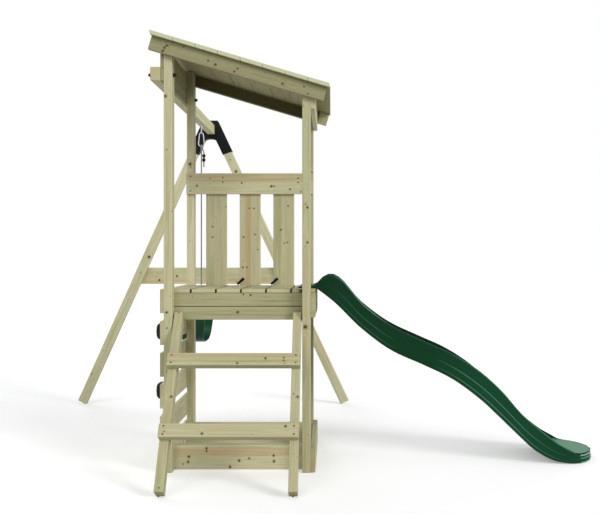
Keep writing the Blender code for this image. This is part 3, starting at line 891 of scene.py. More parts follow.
def rail_line(points: Sequence[Vector], pitch: float) -> list[Vector]:
    """Runs one smooth curve through the points.

    Args:
        points: The points, in order.
        pitch: The distance between the curve's own points.

    Returns:
        Evenly spaced points of the curve.
    """
    ends = [points[0] * 2 - points[1], *points, points[-1] * 2 - points[-2]]
    dense: list[Vector] = []
    for a, b, c, d in zip(ends, ends[1:], ends[2:], ends[3:]):
        count = max(2, int((c - b).length / (pitch * 0.25)))
        for i in range(count):
            t = i / count
            curve = 2 * b + (c - a) * t + (2 * a - 5 * b + 4 * c - d) * t * t
            dense.append(0.5 * (curve + (3 * b - a - 3 * c + d) * t**3))
    dense.append(points[-1].copy())
    even, walked = [dense[0]], 0.0
    for before, after in zip(dense, dense[1:]):
        walked += (after - before).length
        if walked >= pitch:
            even.append(after)
            walked = 0.0
    return even


def length_of(line: Sequence[Vector]) -> float:
    """The length of the way through a line's points."""
    return sum((after - before).length for before, after in zip(line, line[1:]))


def paint_node(node: bpy.types.Object, material: bpy.types.Material) -> None:
    """Puts a finish on all of a CAD node's slots.

    Args:
        node: The CAD object.
        material: The finish.
    """
    if not node.material_slots:
        node.data.materials.append(material)
    for slot in node.material_slots:
        slot.material = material


def settle(piece: bpy.types.Object, body: Body, slot: Slot, *replaced: str) -> None:
    """Hands a finished piece to the frame.

    Args:
        piece: The object.
        body: The body it moves with.
        slot: The record's material slot; not used.
        replaced: The CAD nodes it stands for.
    """
    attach(piece, body.value)
    if replaced:
        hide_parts(*replaced)
    LOG.info("piece %s rides on %s", piece.name, body.value)


# Sub-assemblies


@dataclass
class Timbers:
    """Every sawn timber of the tower, each cut from its own log."""

    nodes: dict[str, bpy.types.Object]
    pine: Pine = field(default_factory=Pine)
    beam_rise: float = 0.018
    beam_length: float = 2.150
    leg_height: float = 2.090
    leg_spread: tuple[float, float] = (0.9383, 0.9823)

    def leaning(self) -> dict[str, tuple[Vector, Vector]]:
        """The grain's direction and the second axis of each timber that leans.

        Returns:
            Both directions, by node.
        """
        x, y = Vector((1, 0, 0)), Vector((0, 1, 0))
        lean = Vector((0, math.sin(LADDER_LEAN), math.cos(LADDER_LEAN)))
        slope = Vector((math.cos(ROOF_SLOPE), 0, -math.sin(ROOF_SLOPE)))
        rise = Vector((0, self.beam_length, self.beam_rise)).normalized()
        left = Vector((self.leg_spread[0], 0, self.leg_height)).normalized()
        right = Vector((-self.leg_spread[1], 0, self.leg_height)).normalized()
        found = {
            "ladder_leg_left": (lean, x),
            "ladder_leg_right": (lean, x),
            "ladder_step_1": (x, lean),
            "ladder_step_2": (x, lean),
            "swing_beam": (rise, x),
            "swing_leg_left": (left, y),
            "swing_leg_right": (right, y),
            "barge_board_front": (slope, y),
            "barge_board_back": (slope, y),
        }
        found.update({f"roof_board_{i}": (y, slope) for i in range(1, 9)})
        return found

    def knots(self) -> dict[str, tuple[Knot, ...]]:
        """The knots that the photograph shows, as each one's X, Z and any size of its own.

        Each list begins with the Y of the face that carries them.

        Returns:
            The knots, by node.
        """
        faces = {
            "guard_rail": (0.6647, (
                (0.044, 1.604, 0.005), (0.507, 1.601, 0.0062), (0.623, 1.582, 0.005),
            )),
            "barge_board_front": (-0.0633, (
                (-0.012, 2.279, 0.0062), (-0.023, 2.261, 0.0058), (0.004, 2.29, 0.0045),
                (0.221, 2.21, 0.0048), (0.26, 2.189, 0.0065), (0.378, 2.168, 0.005),
                (0.361, 2.152, 0.005), (0.619, 2.087, 0.006),
            )),
            "barge_board_back": (0.7553, ((0.121, 2.231), (0.381, 2.154), (0.625, 2.102))),
            "swing_leg_right": (2.063, ((0.128, 1.836, 0.009),)),
            "swing_leg_left": (2.063, ((-0.558, 1.161, 0.0095),)),
            "post_front_left": (-0.035, ((-0.013, 2.026, 0.007), (-0.006, 0.863, 0.006))),
            "post_back_left": (0.685, ((-0.002, 1.741, 0.008),)),
            "post_front_right": (-0.035, (
                (0.739, 0.785, 0.01), (0.751, 1.427, 0.0055), (0.751, 1.239, 0.005),
            )),
            "ladder_step_2": (-0.205, (
                (0.538, 0.642), (0.633, 0.647, 0.004), (0.633, 0.624, 0.004),
                (0.393, 0.609, 0.0048),
            )),
            "ladder_step_1": (-0.41, ((0.243, 0.288), (0.653, 0.337))),
            "ladder_leg_left": (-0.27, ((0.064, 0.451, 0.006),)),
            "ladder_leg_right": (-0.27, ((0.708, 0.45, 0.006),)),
            "ground_board_front": (0.0353, (
                (0.198, 0.116), (0.198, 0.101, 0.0045), (0.101, 0.071, 0.006), (0.097, 0.042),
                (0.376, 0.049), (0.43, 0.061, 0.0045), (0.564, 0.077), (0.566, 0.046),
                (0.326, 0.014), (0.69, 0.127),
            )),
            "baluster_1": (0.685, (
                (0.1379, 1.3498, 0.004), (0.1379, 1.2849, 0.004), (0.2234, 1.4746, 0.0035),
            )),
            "baluster_2": (0.685, (
                (0.3663, 1.4646, 0.0038), (0.3975, 1.4646, 0.0038), (0.3326, 1.2849, 0.0042),
                (0.3276, 1.0965, 0.0042), (0.3526, 1.0965, 0.0042), (0.4037, 1.3011, 0.0036),
            )),
            "baluster_3": (0.685, ((0.5647, 1.3305, 0.0045), (0.5866, 1.2453, 0.0034))),
            "joist_front_upper": (0.0353, ((0.438, 0.953, 0.0048),)),
            "joist_front_lower": (0.0353, ((0.368, 0.86, 0.006),)),
            "frame_brace": (2.1083, ((-0.347, 1.009, 0.007), (-0.486, 0.977, 0.007))),
        }
        return {
            node: tuple(Knot((x, y, z), *size) for x, z, *size in spots)
            for node, (y, spots) in faces.items()
        }

    def bands(self) -> dict[str, Band]:
        """The reddish stripes that the photograph shows.

        Returns:
            The stripes, by node.
        """
        return {
            "guard_rail": Band(0.15, 0.95, 0.55),
            "ground_board_front": Band(0.10, 0.72, 0.75),
            "baluster_2": Band(-0.40, 0.10, 0.90),
            "ladder_step_2": Band(0.25, 0.90, 0.60),
            "frame_brace": Band(-0.80, -0.10, 0.35),
        }

    def painted_light_tones(self) -> dict[str, float]:
        """How much darker or paler some timbers are painted than the rest: mostly painted light
        and shade for how well each is lit, for a few their own tone.

        Returns:
            The share of the usual colour, by node.
        """
        # Mostly painted light and shade: paler where timbers stand lit, darker where they stand in
        # shade
        found = {
            "barge_board_front": 0.64,
            "joist_front_upper": 0.84,
            "joist_front_lower": 0.86,
            "header_left_upper": 0.62,
            "header_left_lower": 0.66,
            "header_right": 1.42,
            "post_front_left": 1.12,
            "post_back_left": 1.32,
            "guard_rail": 1.28,
            "ground_board_front": 1.26,
            "ground_board_back": 1.20,
            "frame_brace": 1.20,
            "swing_beam": 1.26,
            "swing_leg_left": 1.20,
            "swing_leg_right": 1.28,
        }
        found.update({f"baluster_{i}": 1.06 for i in range(1, 4)})
        # The wall boards painted paler as light on their inner faces, the roof boards darker as
        # shade beneath
        found.update({f"wall_board_{i}": 1.52 for i in range(1, 7)})
        found.update({f"roof_board_{i}": 0.76 for i in range(1, 9)})
        return found

    def seam_shade_widths(self) -> dict[str, tuple[float, float]]:
        """How wide the painted shade is in the seams at the lower and upper edges of some boards.

        Returns:
            Both widths, by node.
        """
        found = {"joist_front_upper": (0.0028, 0.0018), "joist_front_lower": (0.0, 0.0028)}
        found.update({f"deck_board_{i}": (0.0024, 0.0024) for i in range(1, 7)})
        return found

    def cut_of(self, name: str, knots: tuple[Knot, ...]) -> PineCut:
        """Chooses how a timber was sawn, from its own shape and name.

        Args:
            name: The CAD node.
            knots: The knots it is known to have.

        Returns:
            The cut.
        """
        low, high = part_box(name)
        size = high - low
        order = sorted(range(3), key=lambda axis: -size[axis])
        axes = [Vector([float(i == axis) for i in range(3)]) for axis in order]
        along, wide = self.leaning().get(name, (axes[0], axes[1]))
        thick = along.cross(wide)
        spans = []
        for axis in (along, wide, thick):
            reach = [vertex.co.dot(axis) for vertex in self.nodes[name].data.vertices]
            spans.append((min(reach), max(reach)))
        centre = sum(
            ((a + b) / 2 * axis for (a, b), axis in zip(spans, (along, wide, thick))), Vector()
        )
        half = tuple((b - a) / 2 for a, b in spans)
        if half[1] < half[2]:
            wide, thick, half = thick, -wide, (half[0], half[2], half[1])
        chance = random.Random(name)
        depth = half[2] + chance.uniform(0.012, 0.060)
        pith = (chance.uniform(-0.5, 0.5) * half[1], chance.choice((-1, 1)) * depth)
        if knots:
            seen = Vector(knots[0].at) - centre
            up, out = seen.dot(wide), seen.dot(thick)
            if abs(abs(out) - half[2]) < abs(abs(up) - half[1]):
                pith = (pith[0], -math.copysign(depth, out))
            else:
                depth = half[1] + chance.uniform(0.012, 0.040)
                pith = (-math.copysign(depth, up), chance.uniform(-0.4, 0.4) * half[2])
        return PineCut(
            node=name,
            along=tuple(along),
            wide=tuple(wide),
            centre=tuple(centre),
            half=half,
            pith=pith,
            seed=chance.uniform(1.0, 40.0),
            # A random tone, times the painted light and shade of some timbers
            tone=chance.uniform(0.95, 1.04) * self.painted_light_tones().get(name, 1.0),
            warmth=chance.uniform(0.15, 0.60),
            band=self.bands().get(name),
            knots=knots,
            edges=self.seam_shade_widths().get(name, (0.0, 0.0)),
            **self.shaded(name, thick),
            **self.sawn_end(name),
        )

    @staticmethod
    def shaded(name: str, thick: Vector) -> dict[str, Any]:
        """Where painted shade darkens a timber, as a painted shadow on a sawn end and as painted
        shade along its length.

        Args:
            name: The CAD node.
            thick: Its third axis.

        Returns:
            The cut's arguments for it.
        """
        # Painted shadow on the last deck board's sawn end, beside the slide
        if name == "deck_board_6":
            return {"corner": (0.028, 0.112)}
        # Painted shade at the front joists' right ends, beside the right post
        if name.startswith("joist_front"):
            return {"dim": Band(0.72, 1.02, 0.62)}
        # Painted shade at the back left post's head, under the roof
        if name == "post_back_left":
            return {"dim": Band(0.80, 0.94, 0.60)}
        # Painted shade on the back barge board's inner face, under the roof
        if name == "barge_board_back":
            return {"dim": Band(0.90, 0.86, 0.96), "dim_face": -math.copysign(1.0, thick.y)}
        return {}

    @staticmethod
    def sawn_end(name: str) -> dict[str, Any]:
        """The colour of a timber's sawn ends, where it isn't the usual one.

        Args:
            name: The CAD node.

        Returns:
            The cut's arguments for it.
        """
        if name.startswith("roof_board"):
            return {"end": paint(206, 208, 172), "end_share": 0.85}
        if name.startswith("deck_board"):
            return {"end": paint(196, 190, 150), "end_share": 0.70}
        if name.startswith("wall_board"):
            return {"end": paint(150, 142, 98), "end_share": 0.60}
        return {}

    def dress(self) -> None:
        """Gives every timber its own wood."""
        known = self.knots()
        for name in sorted(self.nodes):
            cut = self.cut_of(name, known.get(name, ()))
            paint_node(self.nodes[name], self.pine.material(cut))
            LOG.info("timber %s: %.0f mm long", name, 2000 * cut.half[0])


@dataclass
class Fixings:
    """The heads of screws and nails, and the bolts' caps."""

    head: float = 0.0050
    proud: float = 0.0005
    drive: float = 0.0012
    cap: float = 0.0115
    cap_rise: float = 0.0185
    cap_height: float = 2.146
    cap_foot: float = 0.0034
    post_half: float = 0.0225
    step_half: float = 0.0225
    roof_half: float = 0.011
    wall_pair: tuple[float, float] = (-0.036, 0.038)
    deck_pair: tuple[float, float] = (-0.040, 0.041)
    side_pair: tuple[float, float] = (-0.034, 0.036)
    ground_pair: tuple[float, float] = (-0.035, 0.037)
    step_pair: tuple[float, float] = (-0.021, 0.022)
    roof_pair: tuple[float, float] = (-0.032, 0.033)
    board_end: float = 0.022
    baluster_edge: float = 0.03
    baluster_rows: tuple[float, float] = (1.63, 0.93)
    barges: tuple[float, float] = (-0.0633, 0.7833)
    rail_face: float = 0.6647
    brace_x: tuple[float, float] = (-0.610, 0.474)
    brace_z: tuple[float, float] = (0.985, 1.040)
    step_ends: tuple[float, float] = (0.050, 0.695)
    ladder_feet: tuple[float, float] = (0.0515, 0.6955)
    roof_rows: tuple[float, float] = (-0.049, 0.769)

    def screw(self, shape: bmesh.types.BMesh, at: Vector, out: Vector, turn: float) -> None:
        """Adds one countersunk head with a square drive.

        Args:
            shape: The mesh to add to.
            at: The point of the surface.
            out: The surface's direction.
            turn: The head's turn about its own axis.
        """
        place = turned_to(out, at + out * (self.proud / 2)) @ Matrix.Rotation(turn, 4, "Z")
        made = bmesh.ops.create_cone(
            shape,
            cap_ends=True,
            segments=12,
            radius1=self.head,
            radius2=self.head - 0.0007,
            depth=self.proud,
            matrix=place,
        )
        faces = {face for vertex in made["verts"] for face in vertex.link_faces}
        top = max(faces, key=lambda face: (face.calc_center_median() - at).dot(out))
        bmesh.ops.inset_region(shape, faces=[top], thickness=self.head * 0.40)
        bmesh.ops.inset_region(shape, faces=[top], thickness=0.0002, depth=-self.drive)

    def tower_screws(self) -> list[Spot]:
        """Where the screws sit, with the direction each head looks.

        Returns:
            The places.
        """
        found: list[Spot] = []

        def row(points: Iterable[Point], out: Point) -> None:
            """Adds the points of one face."""
            found.extend((Vector(point), Vector(out)) for point in points)

        for i in range(1, 7):
            low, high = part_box(f"wall_board_{i}")
            middle = (low.z + high.z) / 2
            row([(low.x, y, middle + d) for y in POSTS_Y for d in self.wall_pair], (-1, 0, 0))
            low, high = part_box(f"deck_board_{i}")
            middle = (low.x + high.x) / 2
            ends = (low.y + self.board_end, high.y - self.board_end)
            row([(middle + d, y, high.z) for y in ends for d in self.deck_pair], (0, 0, 1))
        for name in ("ground_board_right", "deck_edge_board", "header_right"):
            low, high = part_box(name)
            middle = (low.z + high.z) / 2
            row([(high.x, y, middle + d) for y in POSTS_Y for d in self.side_pair], (1, 0, 0))
        for name in ("header_left_lower", "header_left_upper"):
            low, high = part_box(name)
            row([(low.x, POSTS_Y[1], (low.z + high.z) / 2)], (-1, 0, 0))
        for name, side in (("ground_board_front", 1), ("ground_board_back", -1)):
            low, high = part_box(name)
            face, middle = (high if side > 0 else low).y, (low.z + high.z) / 2
            row([(x, face, middle + d) for x in POSTS_X for d in self.ground_pair], (0, side, 0))
        rail = ((0.004, 1.662), (0.004, 1.573), (0.205, 1.655), (0.205, 1.626))
        rail += ((0.673, 1.651), (0.673, 1.624), (0.745, 1.655), (0.745, 1.580))
        row([(x, self.rail_face, z) for x, z in rail], (0, -1, 0))
        for i in range(1, 4):
            low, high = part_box(f"baluster_{i}")
            across = (low.x + self.baluster_edge, high.x - self.baluster_edge)
            row([(x, high.y, z) for x in across for z in self.baluster_rows], (0, 1, 0))
        front = ((-0.003, 2.290), (-0.019, 2.263), (0.733, 2.071), (0.754, 2.033))
        back = ((0.004, 2.290), (-0.012, 2.255), (0.740, 2.071), (0.760, 2.034))
        for y, side, spots in zip(self.barges, (-1, 1), (front, back)):
            row([(x, y, z) for x, z in spots], (0, side, 0))
        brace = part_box("frame_brace")[1].y
        row([(x, brace, z) for x in self.brace_x for z in self.brace_z], (0, 1, 0))
        return found

    def ladder_screws(self) -> list[Spot]:
        """The screws through the steps and the feet of the ladder.

        Returns:
            The places.
        """
        up = Vector((0, math.sin(LADDER_LEAN), math.cos(LADDER_LEAN)))
        out = Vector((0, -math.cos(LADDER_LEAN), math.sin(LADDER_LEAN)))
        found = []
        for step in ("ladder_step_1", "ladder_step_2"):
            low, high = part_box(step)
            face = (low + high) / 2 + out * self.step_half
            for x in self.step_ends:
                found += [(Vector((x, face.y, face.z)) + up * d, out) for d in self.step_pair]
        for x in self.ladder_feet:
            foot = Vector((x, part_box("ladder_leg_left")[0].y, 0.0014))
            found.append((foot + up * 0.016, out))
        return found

    def roof_screws(self) -> list[Spot]:
        """The nails that hold the roof boards to the two barge boards.

        Returns:
            The places.
        """
        out = Vector((math.sin(ROOF_SLOPE), 0, math.cos(ROOF_SLOPE)))
        down = Vector((math.cos(ROOF_SLOPE), 0, -math.sin(ROOF_SLOPE)))
        found = []
        for i in range(1, 9):
            low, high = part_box(f"roof_board_{i}")
            face = (low + high) / 2 + out * self.roof_half
            for y in self.roof_rows:
                found += [(Vector((face.x, y, face.z)) + down * d, out) for d in self.roof_pair]
        return found

    def build(self, zinc: bpy.types.Material, black: bpy.types.Material) -> None:
        """Makes the heads and the caps.

        Args:
            zinc: The screws' finish.
            black: The caps' finish.
        """
        chance = random.Random("drive")
        groups = {
            "tower_screws": self.tower_screws(),
            "ladder_screws": self.ladder_screws(),
            "roof_screws": self.roof_screws(),
        }
        for name, places in groups.items():
            shape = bmesh.new()
            for at, out in places:
                self.screw(shape, at, out, chance.uniform(0, math.pi))
            settle(piece_of(name, shape, zinc), Body.TOWER, Slot.STEEL)
            LOG.info("%s: %d heads", name, len(places))
        shape = bmesh.new()
        rim, foot, dome = self.cap, self.cap_foot, self.cap_rise
        profile = [(0.0, -0.0004), (rim, -0.0004), (rim, 0.0022), (rim * 0.93, foot)]
        profile += [
            (rim * 0.90 * math.cos(a), foot + (dome - foot) * math.sin(a))
            for a in (0.35, 0.70, 1.05, 1.35)
        ]
        profile += [(0.0, dome)]
        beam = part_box("swing_beam")[0].x
        for y in POSTS_Y:
            for x, side in ((beam, -1), (self.post_half, 1)):
                place = turned_to(Vector((side, 0, 0)), Vector((x, y, self.cap_height)))
                spun(shape, profile, place)
        caps = piece_of("bolt_caps", shape, black)
        smooth(caps, 40)
        settle(caps, Body.TOWER, Slot.BLACK)


@dataclass(frozen=True)
class Station:
    """One section of the slide: where it is, and its outer sizes."""

    x: float
    middle: float
    half: float
    low: float
    top: float
    floor: float

    def outline(self) -> list[Point]:
        """The section's outline, from the underside's middle out, up and in to the bed, and back.

        Returns:
            The points.
        """
        height, tall = self.top - self.low, self.top - self.floor
        inner = self.half - RIM_WIDTH
        lip = min(LIP_HEIGHT, 0.3 * height)
        skirt = ((0.014, 0.0), (0.003, 0.03), (0.0, 0.07), (0.0, 0.150))
        ribs = ((0.0055, 0.185), (0.0060, 0.465), (0.0115, 0.500))
        rim = ((0.0120, 1.0), (0.0110, 0.50), (0.0110, 0.25), (0.0145, 0.0))
        side = [(self.half - inset, self.low + share * height) for inset, share in skirt + ribs]
        side += [(self.half - inset, self.top - share * lip) for inset, share in rim]
        side += [
            (inner + 0.006, self.top),
            (inner, self.top - min(0.005, 0.5 * tall)),
            (inner - 0.10 * tall, self.floor + 0.30 * tall),
            (inner - 0.14 * tall - 0.008, self.floor + 0.08 * tall),
            (inner - 0.18 * tall - 0.024, self.floor),
        ]
        whole = side + [(-out, up) for out, up in reversed(side)]
        return [(self.x, self.middle + out, up) for out, up in whole]


class SlidePart(Enum):
    """The slide's finishes, by their place in its list of materials, each with painted light and
    shade along the slide.
    """

    SHELL = 0
    RIB_HIGHLIGHT = 1
    LANDING_REFLECTION = 2
    RIM_HIGHLIGHT = 3
    GLEAM = 4
    INSIDE = 5


@dataclass
class Slide:
    """The moulded wave slide, with two ribs down its sides, painted highlights on its ribs, rim
    and nose, painted shade inside its trough, and a landing painted paler as a reflection.

    Attributes:
        node: The CAD slide.
        crease: The angle of an edge that stays sharp, in degrees.
        ribs: The outline's strips that are ribs, counted from the underside up and in, which carry
            painted highlights.
        rims: The strips of the rim, which carry a painted highlight.
        insides: The strips of the trough's sides, painted dark as shade.
        gleams: The strips on the nose that carry a painted highlight.
        rib_ends: How far the ribs stop from the slide's two ends.
        nose: The nose's length.
        apron: The length of the landing, which is painted paler as a reflection.
        level: The least upward part of a normal that counts as level.
        ground: The least height of a face of the bed.
    """

    node: bpy.types.Object
    crease: float = 32.0
    ribs: tuple[int, ...] = (3, 5)
    rims: tuple[int, ...] = (8, 9)
    insides: tuple[int, ...] = (10, 11, 12)
    gleams: tuple[int, ...] = (2, 5, 7)
    rib_ends: tuple[float, float] = (0.130, 0.110)
    nose: float = 0.105
    apron: float = 0.235
    level: float = 0.8
    ground: float = 0.03

    def part_at(self, strip: int, x: float, first: float, last: float) -> SlidePart:
        """The finish of one strip of the shell at one place.

        Args:
            strip: The strip's number, from the underside up and in.
            x: Where it is.
            first: Where the slide begins.
            last: Where it ends.

        Returns:
            The finish.
        """
        if x > last - self.nose and strip in self.gleams:
            return SlidePart.GLEAM
        if strip in self.rims:
            return SlidePart.RIM_HIGHLIGHT
        if strip in self.insides:
            return SlidePart.INSIDE
        if strip in self.ribs and first + self.rib_ends[0] < x < last - self.rib_ends[1]:
            return SlidePart.RIB_HIGHLIGHT
        return SlidePart.SHELL

    def stations(self) -> list[Station]:
        """The sections that the CAD slide was lofted through.

        Returns:
            The stations along X.
        """
        rings: dict[float, list[Vector]] = {}
        for vertex in self.node.data.vertices:
            rings.setdefault(round(vertex.co.x, 4), []).append(vertex.co)
        found = []
        for x, ring in sorted(rings.items()):
            ends = [min(p.y for p in ring), max(p.y for p in ring)]
            middle, low = sum(ends) / 2, min(p.z for p in ring)
            upper = [p for p in ring if p.z > low + 0.0005]
            bed = min(upper, key=lambda p: abs(p.y - middle))
            half = (ends[1] - ends[0]) / 2
            found.append(Station(x, middle, half, low, max(p.z for p in ring), bed.z))
        return found

    def build(self, finishes: dict[SlidePart, bpy.types.Material]) -> None:
        """Lofts the shell through the CAD's stations.

        Args:
            finishes: The plastic of each of its parts.
        """
        stations = self.stations()
        shape = bmesh.new()
        rings = [[shape.verts.new(point) for point in spot.outline()] for spot in stations]
        count = len(rings[0])
        first, last = stations[0].x, stations[-1].x
        for spot, ring, after in zip(stations, rings, rings[1:]):
            for i in range(count):
                j = (i + 1) % count
                face = shape.faces.new((ring[i], ring[j], after[j], after[i]))
                strip = min(i, count - 2 - i)
                face.material_index = self.part_at(strip, spot.x, first, last).value
        shape.faces.new(list(reversed(rings[0])))
        shape.faces.new(rings[-1])
        bmesh.ops.recalc_face_normals(shape, faces=shape.faces)
        for face in shape.faces:
            middle = face.calc_center_median()
            top = face.normal.z > self.level and middle.z > self.ground
            flat = face.material_index in (SlidePart.SHELL.value, SlidePart.INSIDE.value)
            # The landing's level faces take the painted reflection
            if top and flat and middle.x > last - self.apron:
                face.material_index = SlidePart.LANDING_REFLECTION.value
        LOG.info("slide: %d stations", len(stations))
        made = piece_of("slide_shell", shape, *(finishes[part] for part in SlidePart))
        smooth(made, self.crease)
        settle(made, Body.TOWER, Slot.GREEN, "slide")


@dataclass
class Holds:
    """The three climbing holds with their bolts."""

    nodes: dict[str, bpy.types.Object]
    washer: float = 0.0105

    def build(self, plastic: bpy.types.Material, zinc: bpy.types.Material) -> None:
        """Rounds each hold and sets a socket bolt in its face.

        Args:
            plastic: The holds' finish.
            zinc: The bolts' finish.
        """
        bolts = bmesh.new()
        for name, node in sorted(self.nodes.items()):
            made = piece_of(f"{name}_body", merged_copy(node), plastic)
            rounded(made, 0.0030, 24)
            smooth(made, 60)
            settle(made, Body.TOWER, Slot.BLACK, name)
            low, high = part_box(name)
            middle = (low + high) / 2
            place = turned_to(Vector((-1, 0, 0)), Vector((low.x, middle.y, middle.z)))
            profile = [(0.0, -0.006), (self.washer, -0.006), (self.washer, 0.0004)]
            profile += [(0.0065, 0.0010), (0.0062, 0.0030), (0.0036, 0.0032)]
            profile += [(0.0034, 0.0002), (0.0, 0.0002)]
            spun(bolts, profile, place, 18)
        made = piece_of("hold_bolts", bolts, zinc)
        smooth(made, 30)
        settle(made, Body.TOWER, Slot.STEEL)


@dataclass
class FrameBracket:
    """The black sleeve that carries the beam on its two legs."""

    node: bpy.types.Object
    left: tuple[tuple[float, float], ...] = ((-0.186, 2.060), (-0.214, 2.002))
    right: tuple[tuple[float, float], ...] = ((0.050, 2.060), (0.078, 2.002))

    def build(self, plastic: bpy.types.Material, fixings: Fixings) -> None:
        """Rounds the moulding's edges and adds its screws.

        Args:
            plastic: The bracket's finish and its screws'.
            fixings: The shape of a screw's head.
        """
        made = piece_of("frame_bracket_moulding", merged_copy(self.node), plastic)
        rounded(made, 0.0022, 40)
        smooth(made, 50)
        settle(made, Body.TOWER, Slot.BLACK, "frame_bracket")
        low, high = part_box("frame_bracket")
        shape = bmesh.new()
        for x, z in self.left + self.right:
            for y, side in ((low.y, -1.0), (high.y, 1.0)):
                fixings.screw(shape, Vector((x, y, z)), Vector((0, side, 0)), 0.3)
        settle(piece_of("bracket_screws", shape, plastic), Body.TOWER, Slot.BLACK)


@dataclass
class Swing:
    """The ropes, their adjusters and the seat.

    Attributes:
        nodes: The CAD nodes.
        hinge: The middle of the hinge's axis.
        fibres: The pale and the dark strands' finishes.
        spread: Half the distance between the ropes.
        rope: The rope's radius.
        lay: The length of one turn of its strands.
        pitch: The distance between the points of its middle.
        strand: A strand's radius as a share of the rope's.
        link_reach: How far below the hinge the rope goes over the link's wire.
        tail: The length of the rope's free end.
        tail_offset: How far the free end hangs beside the rope.
        hole: The height of the seat's rope holes.
        turn: The radius of the rope's turn into a hole.
        ear: The depth of the knot's place behind a hole.
        bend: The radius of the rope's turn over the wire.
        neck: How far below the wire the turn ends.
        join: How far below the wire the rope hangs straight.
        knot: The radius of the knot's turns.
        knot_rope: The knot's cord as a share of the rope, since it is drawn tight.
        bead: An adjuster's radius.
        bead_height: The adjusters' height.
    """

    nodes: dict[str, bpy.types.Object]
    hinge: Vector
    fibres: tuple[bpy.types.Material, bpy.types.Material]
    spread: float = 0.210
    rope: float = 0.005
    lay: float = 0.030
    pitch: float = 0.0026
    strand: float = 0.44
    link_reach: float = 0.087
    tail: float = 0.150
    tail_offset: float = 0.018
    hole: float = 0.745
    turn: float = 0.0095
    ear: float = 0.0073
    bend: float = 0.0091
    neck: float = 0.024
    join: float = 0.060
    knot: float = 0.0062
    knot_rope: float = 0.82
    bead: float = 0.0130
    bead_height: float = 1.866

    def route(self, side: int) -> list[Vector]:
        """The middle of one rope, from its tail's end to its knot in the seat.

        Args:
            side: -1 for the front rope, 1 for the back one.

        Returns:
            Evenly spaced points.
        """
        wire, bend, tail = -self.link_reach, self.bend, self.tail_offset
        hole, y = self.hole - self.hinge.z, side * self.spread
        # Up the free end to the link
        points = [
            Vector((tail, y, wire - self.tail)),
            Vector((tail, y, wire - self.tail * 0.6)),
            Vector((tail, y + 0.2 * bend, wire - 0.050)),
            Vector((tail * 0.6, y + 0.8 * bend, wire - self.neck)),
        ]
        # Over the link's wire
        for step in range(5):
            angle = math.pi * step / 4
            over = Vector((0.001, y + bend * math.cos(angle), wire + bend * math.sin(angle)))
            points.append(over)
        # Down to the seat
        points.append(Vector((0.0, y - 0.7 * bend, wire - self.neck)))
        drop = hole - wire + 0.080
        points += [Vector((0.0, y, wire - self.join + drop * t / 4)) for t in range(5)]
        # In through the hole to the knot
        for step in range(1, 5):
            angle = math.pi / 2 * step / 4
            into = -side * self.turn * (1 - math.cos(angle))
            points.append(Vector((0.0, y + into, hole + self.turn * (1 - math.sin(angle)))))
        knot = y - side * (self.turn + self.ear)
        points.append(Vector((0.0, knot, hole)))
        points.append(Vector((0.0, knot - side * 0.016, hole)))
        return [point + self.hinge for point in rail_line(points, self.pitch)]

    def strands(self, name: str, line: Sequence[Vector], radius: float) -> bpy.types.Mesh:
        """Lays four strands round a line, pale and dark by turns.

        Args:
            name: The piece's name.
            line: The rope's middle.
            radius: The rope's radius.

        Returns:
            The mesh.
        """
        curve = bpy.data.curves.new(name, "CURVE")
        curve.dimensions = "3D"
        curve.bevel_depth, curve.bevel_resolution = radius * self.strand, 1
        curve.use_fill_caps = True
        for fibre in self.fibres:
            curve.materials.append(fibre)
        across = Vector((1, 0, 0))
        frames, walked = [], 0.0
        for i, point in enumerate(line):
            ahead = (line[min(i + 1, len(line) - 1)] - line[max(i - 1, 0)]).normalized()
            across = (across - ahead * across.dot(ahead)).normalized()
            walked += (point - line[i - 1]).length if i else 0.0
            frames.append((point, across.copy(), ahead.cross(across), walked))
        for strand in range(4):
            spline = curve.splines.new("POLY")
            spline.points.add(len(frames) - 1)
            spline.material_index = strand % 2
            for spot, (point, right, up, gone) in zip(spline.points, frames):
                angle = math.tau * (gone / self.lay + strand / 4)
                away = right * math.cos(angle) + up * math.sin(angle)
                spot.co = (*(point + away * radius * (1 - self.strand)), 1.0)
        holder = linked(f"{name}_curve", curve)
        bpy.context.view_layer.update()
        graph = bpy.context.evaluated_depsgraph_get()
        mesh = bpy.data.meshes.new_from_object(holder.evaluated_get(graph))
        bpy.data.objects.remove(holder)
        return mesh

    def knot_line(self, side: int) -> list[Vector]:
        """The turns of the stopper knot inside the seat's ear.

        Args:
            side: -1 for the front rope, 1 for the back one.

        Returns:
            The middle of its cord.
        """
        hole = Vector((0.0, side * (self.spread - self.turn - self.ear), self.hole - self.hinge.z))
        points, wide = [], self.knot
        for step in range(31):
            angle = math.tau * 1.5 * step / 30
            inward = -side * (0.0035 + 0.0065 * step / 30)
            points.append(hole + Vector((wide * math.cos(angle), inward, wide * math.sin(angle))))
        return [point + self.hinge for point in rail_line(points, self.pitch)]

    def ropes(self) -> None:
        """Makes both twisted ropes with their knots."""
        for name, side in (("front", -1), ("back", 1)):
            line, knot = self.route(side), self.knot_line(side)
            shape = bmesh.new()
            shape.from_mesh(self.strands(f"rope_{name}", line, self.rope))
            shape.from_mesh(self.strands(f"knot_{name}", knot, self.rope * self.knot_rope))
            rope = piece_of(f"rope_{name}_laid", shape, *self.fibres)
            smooth(rope, 60)
            settle(rope, Body.SWING, Slot.ROPE, f"swing_rope_{name}")
            LOG.info("rope %s: %.3f m, knot %.3f m", name, length_of(line), length_of(knot))

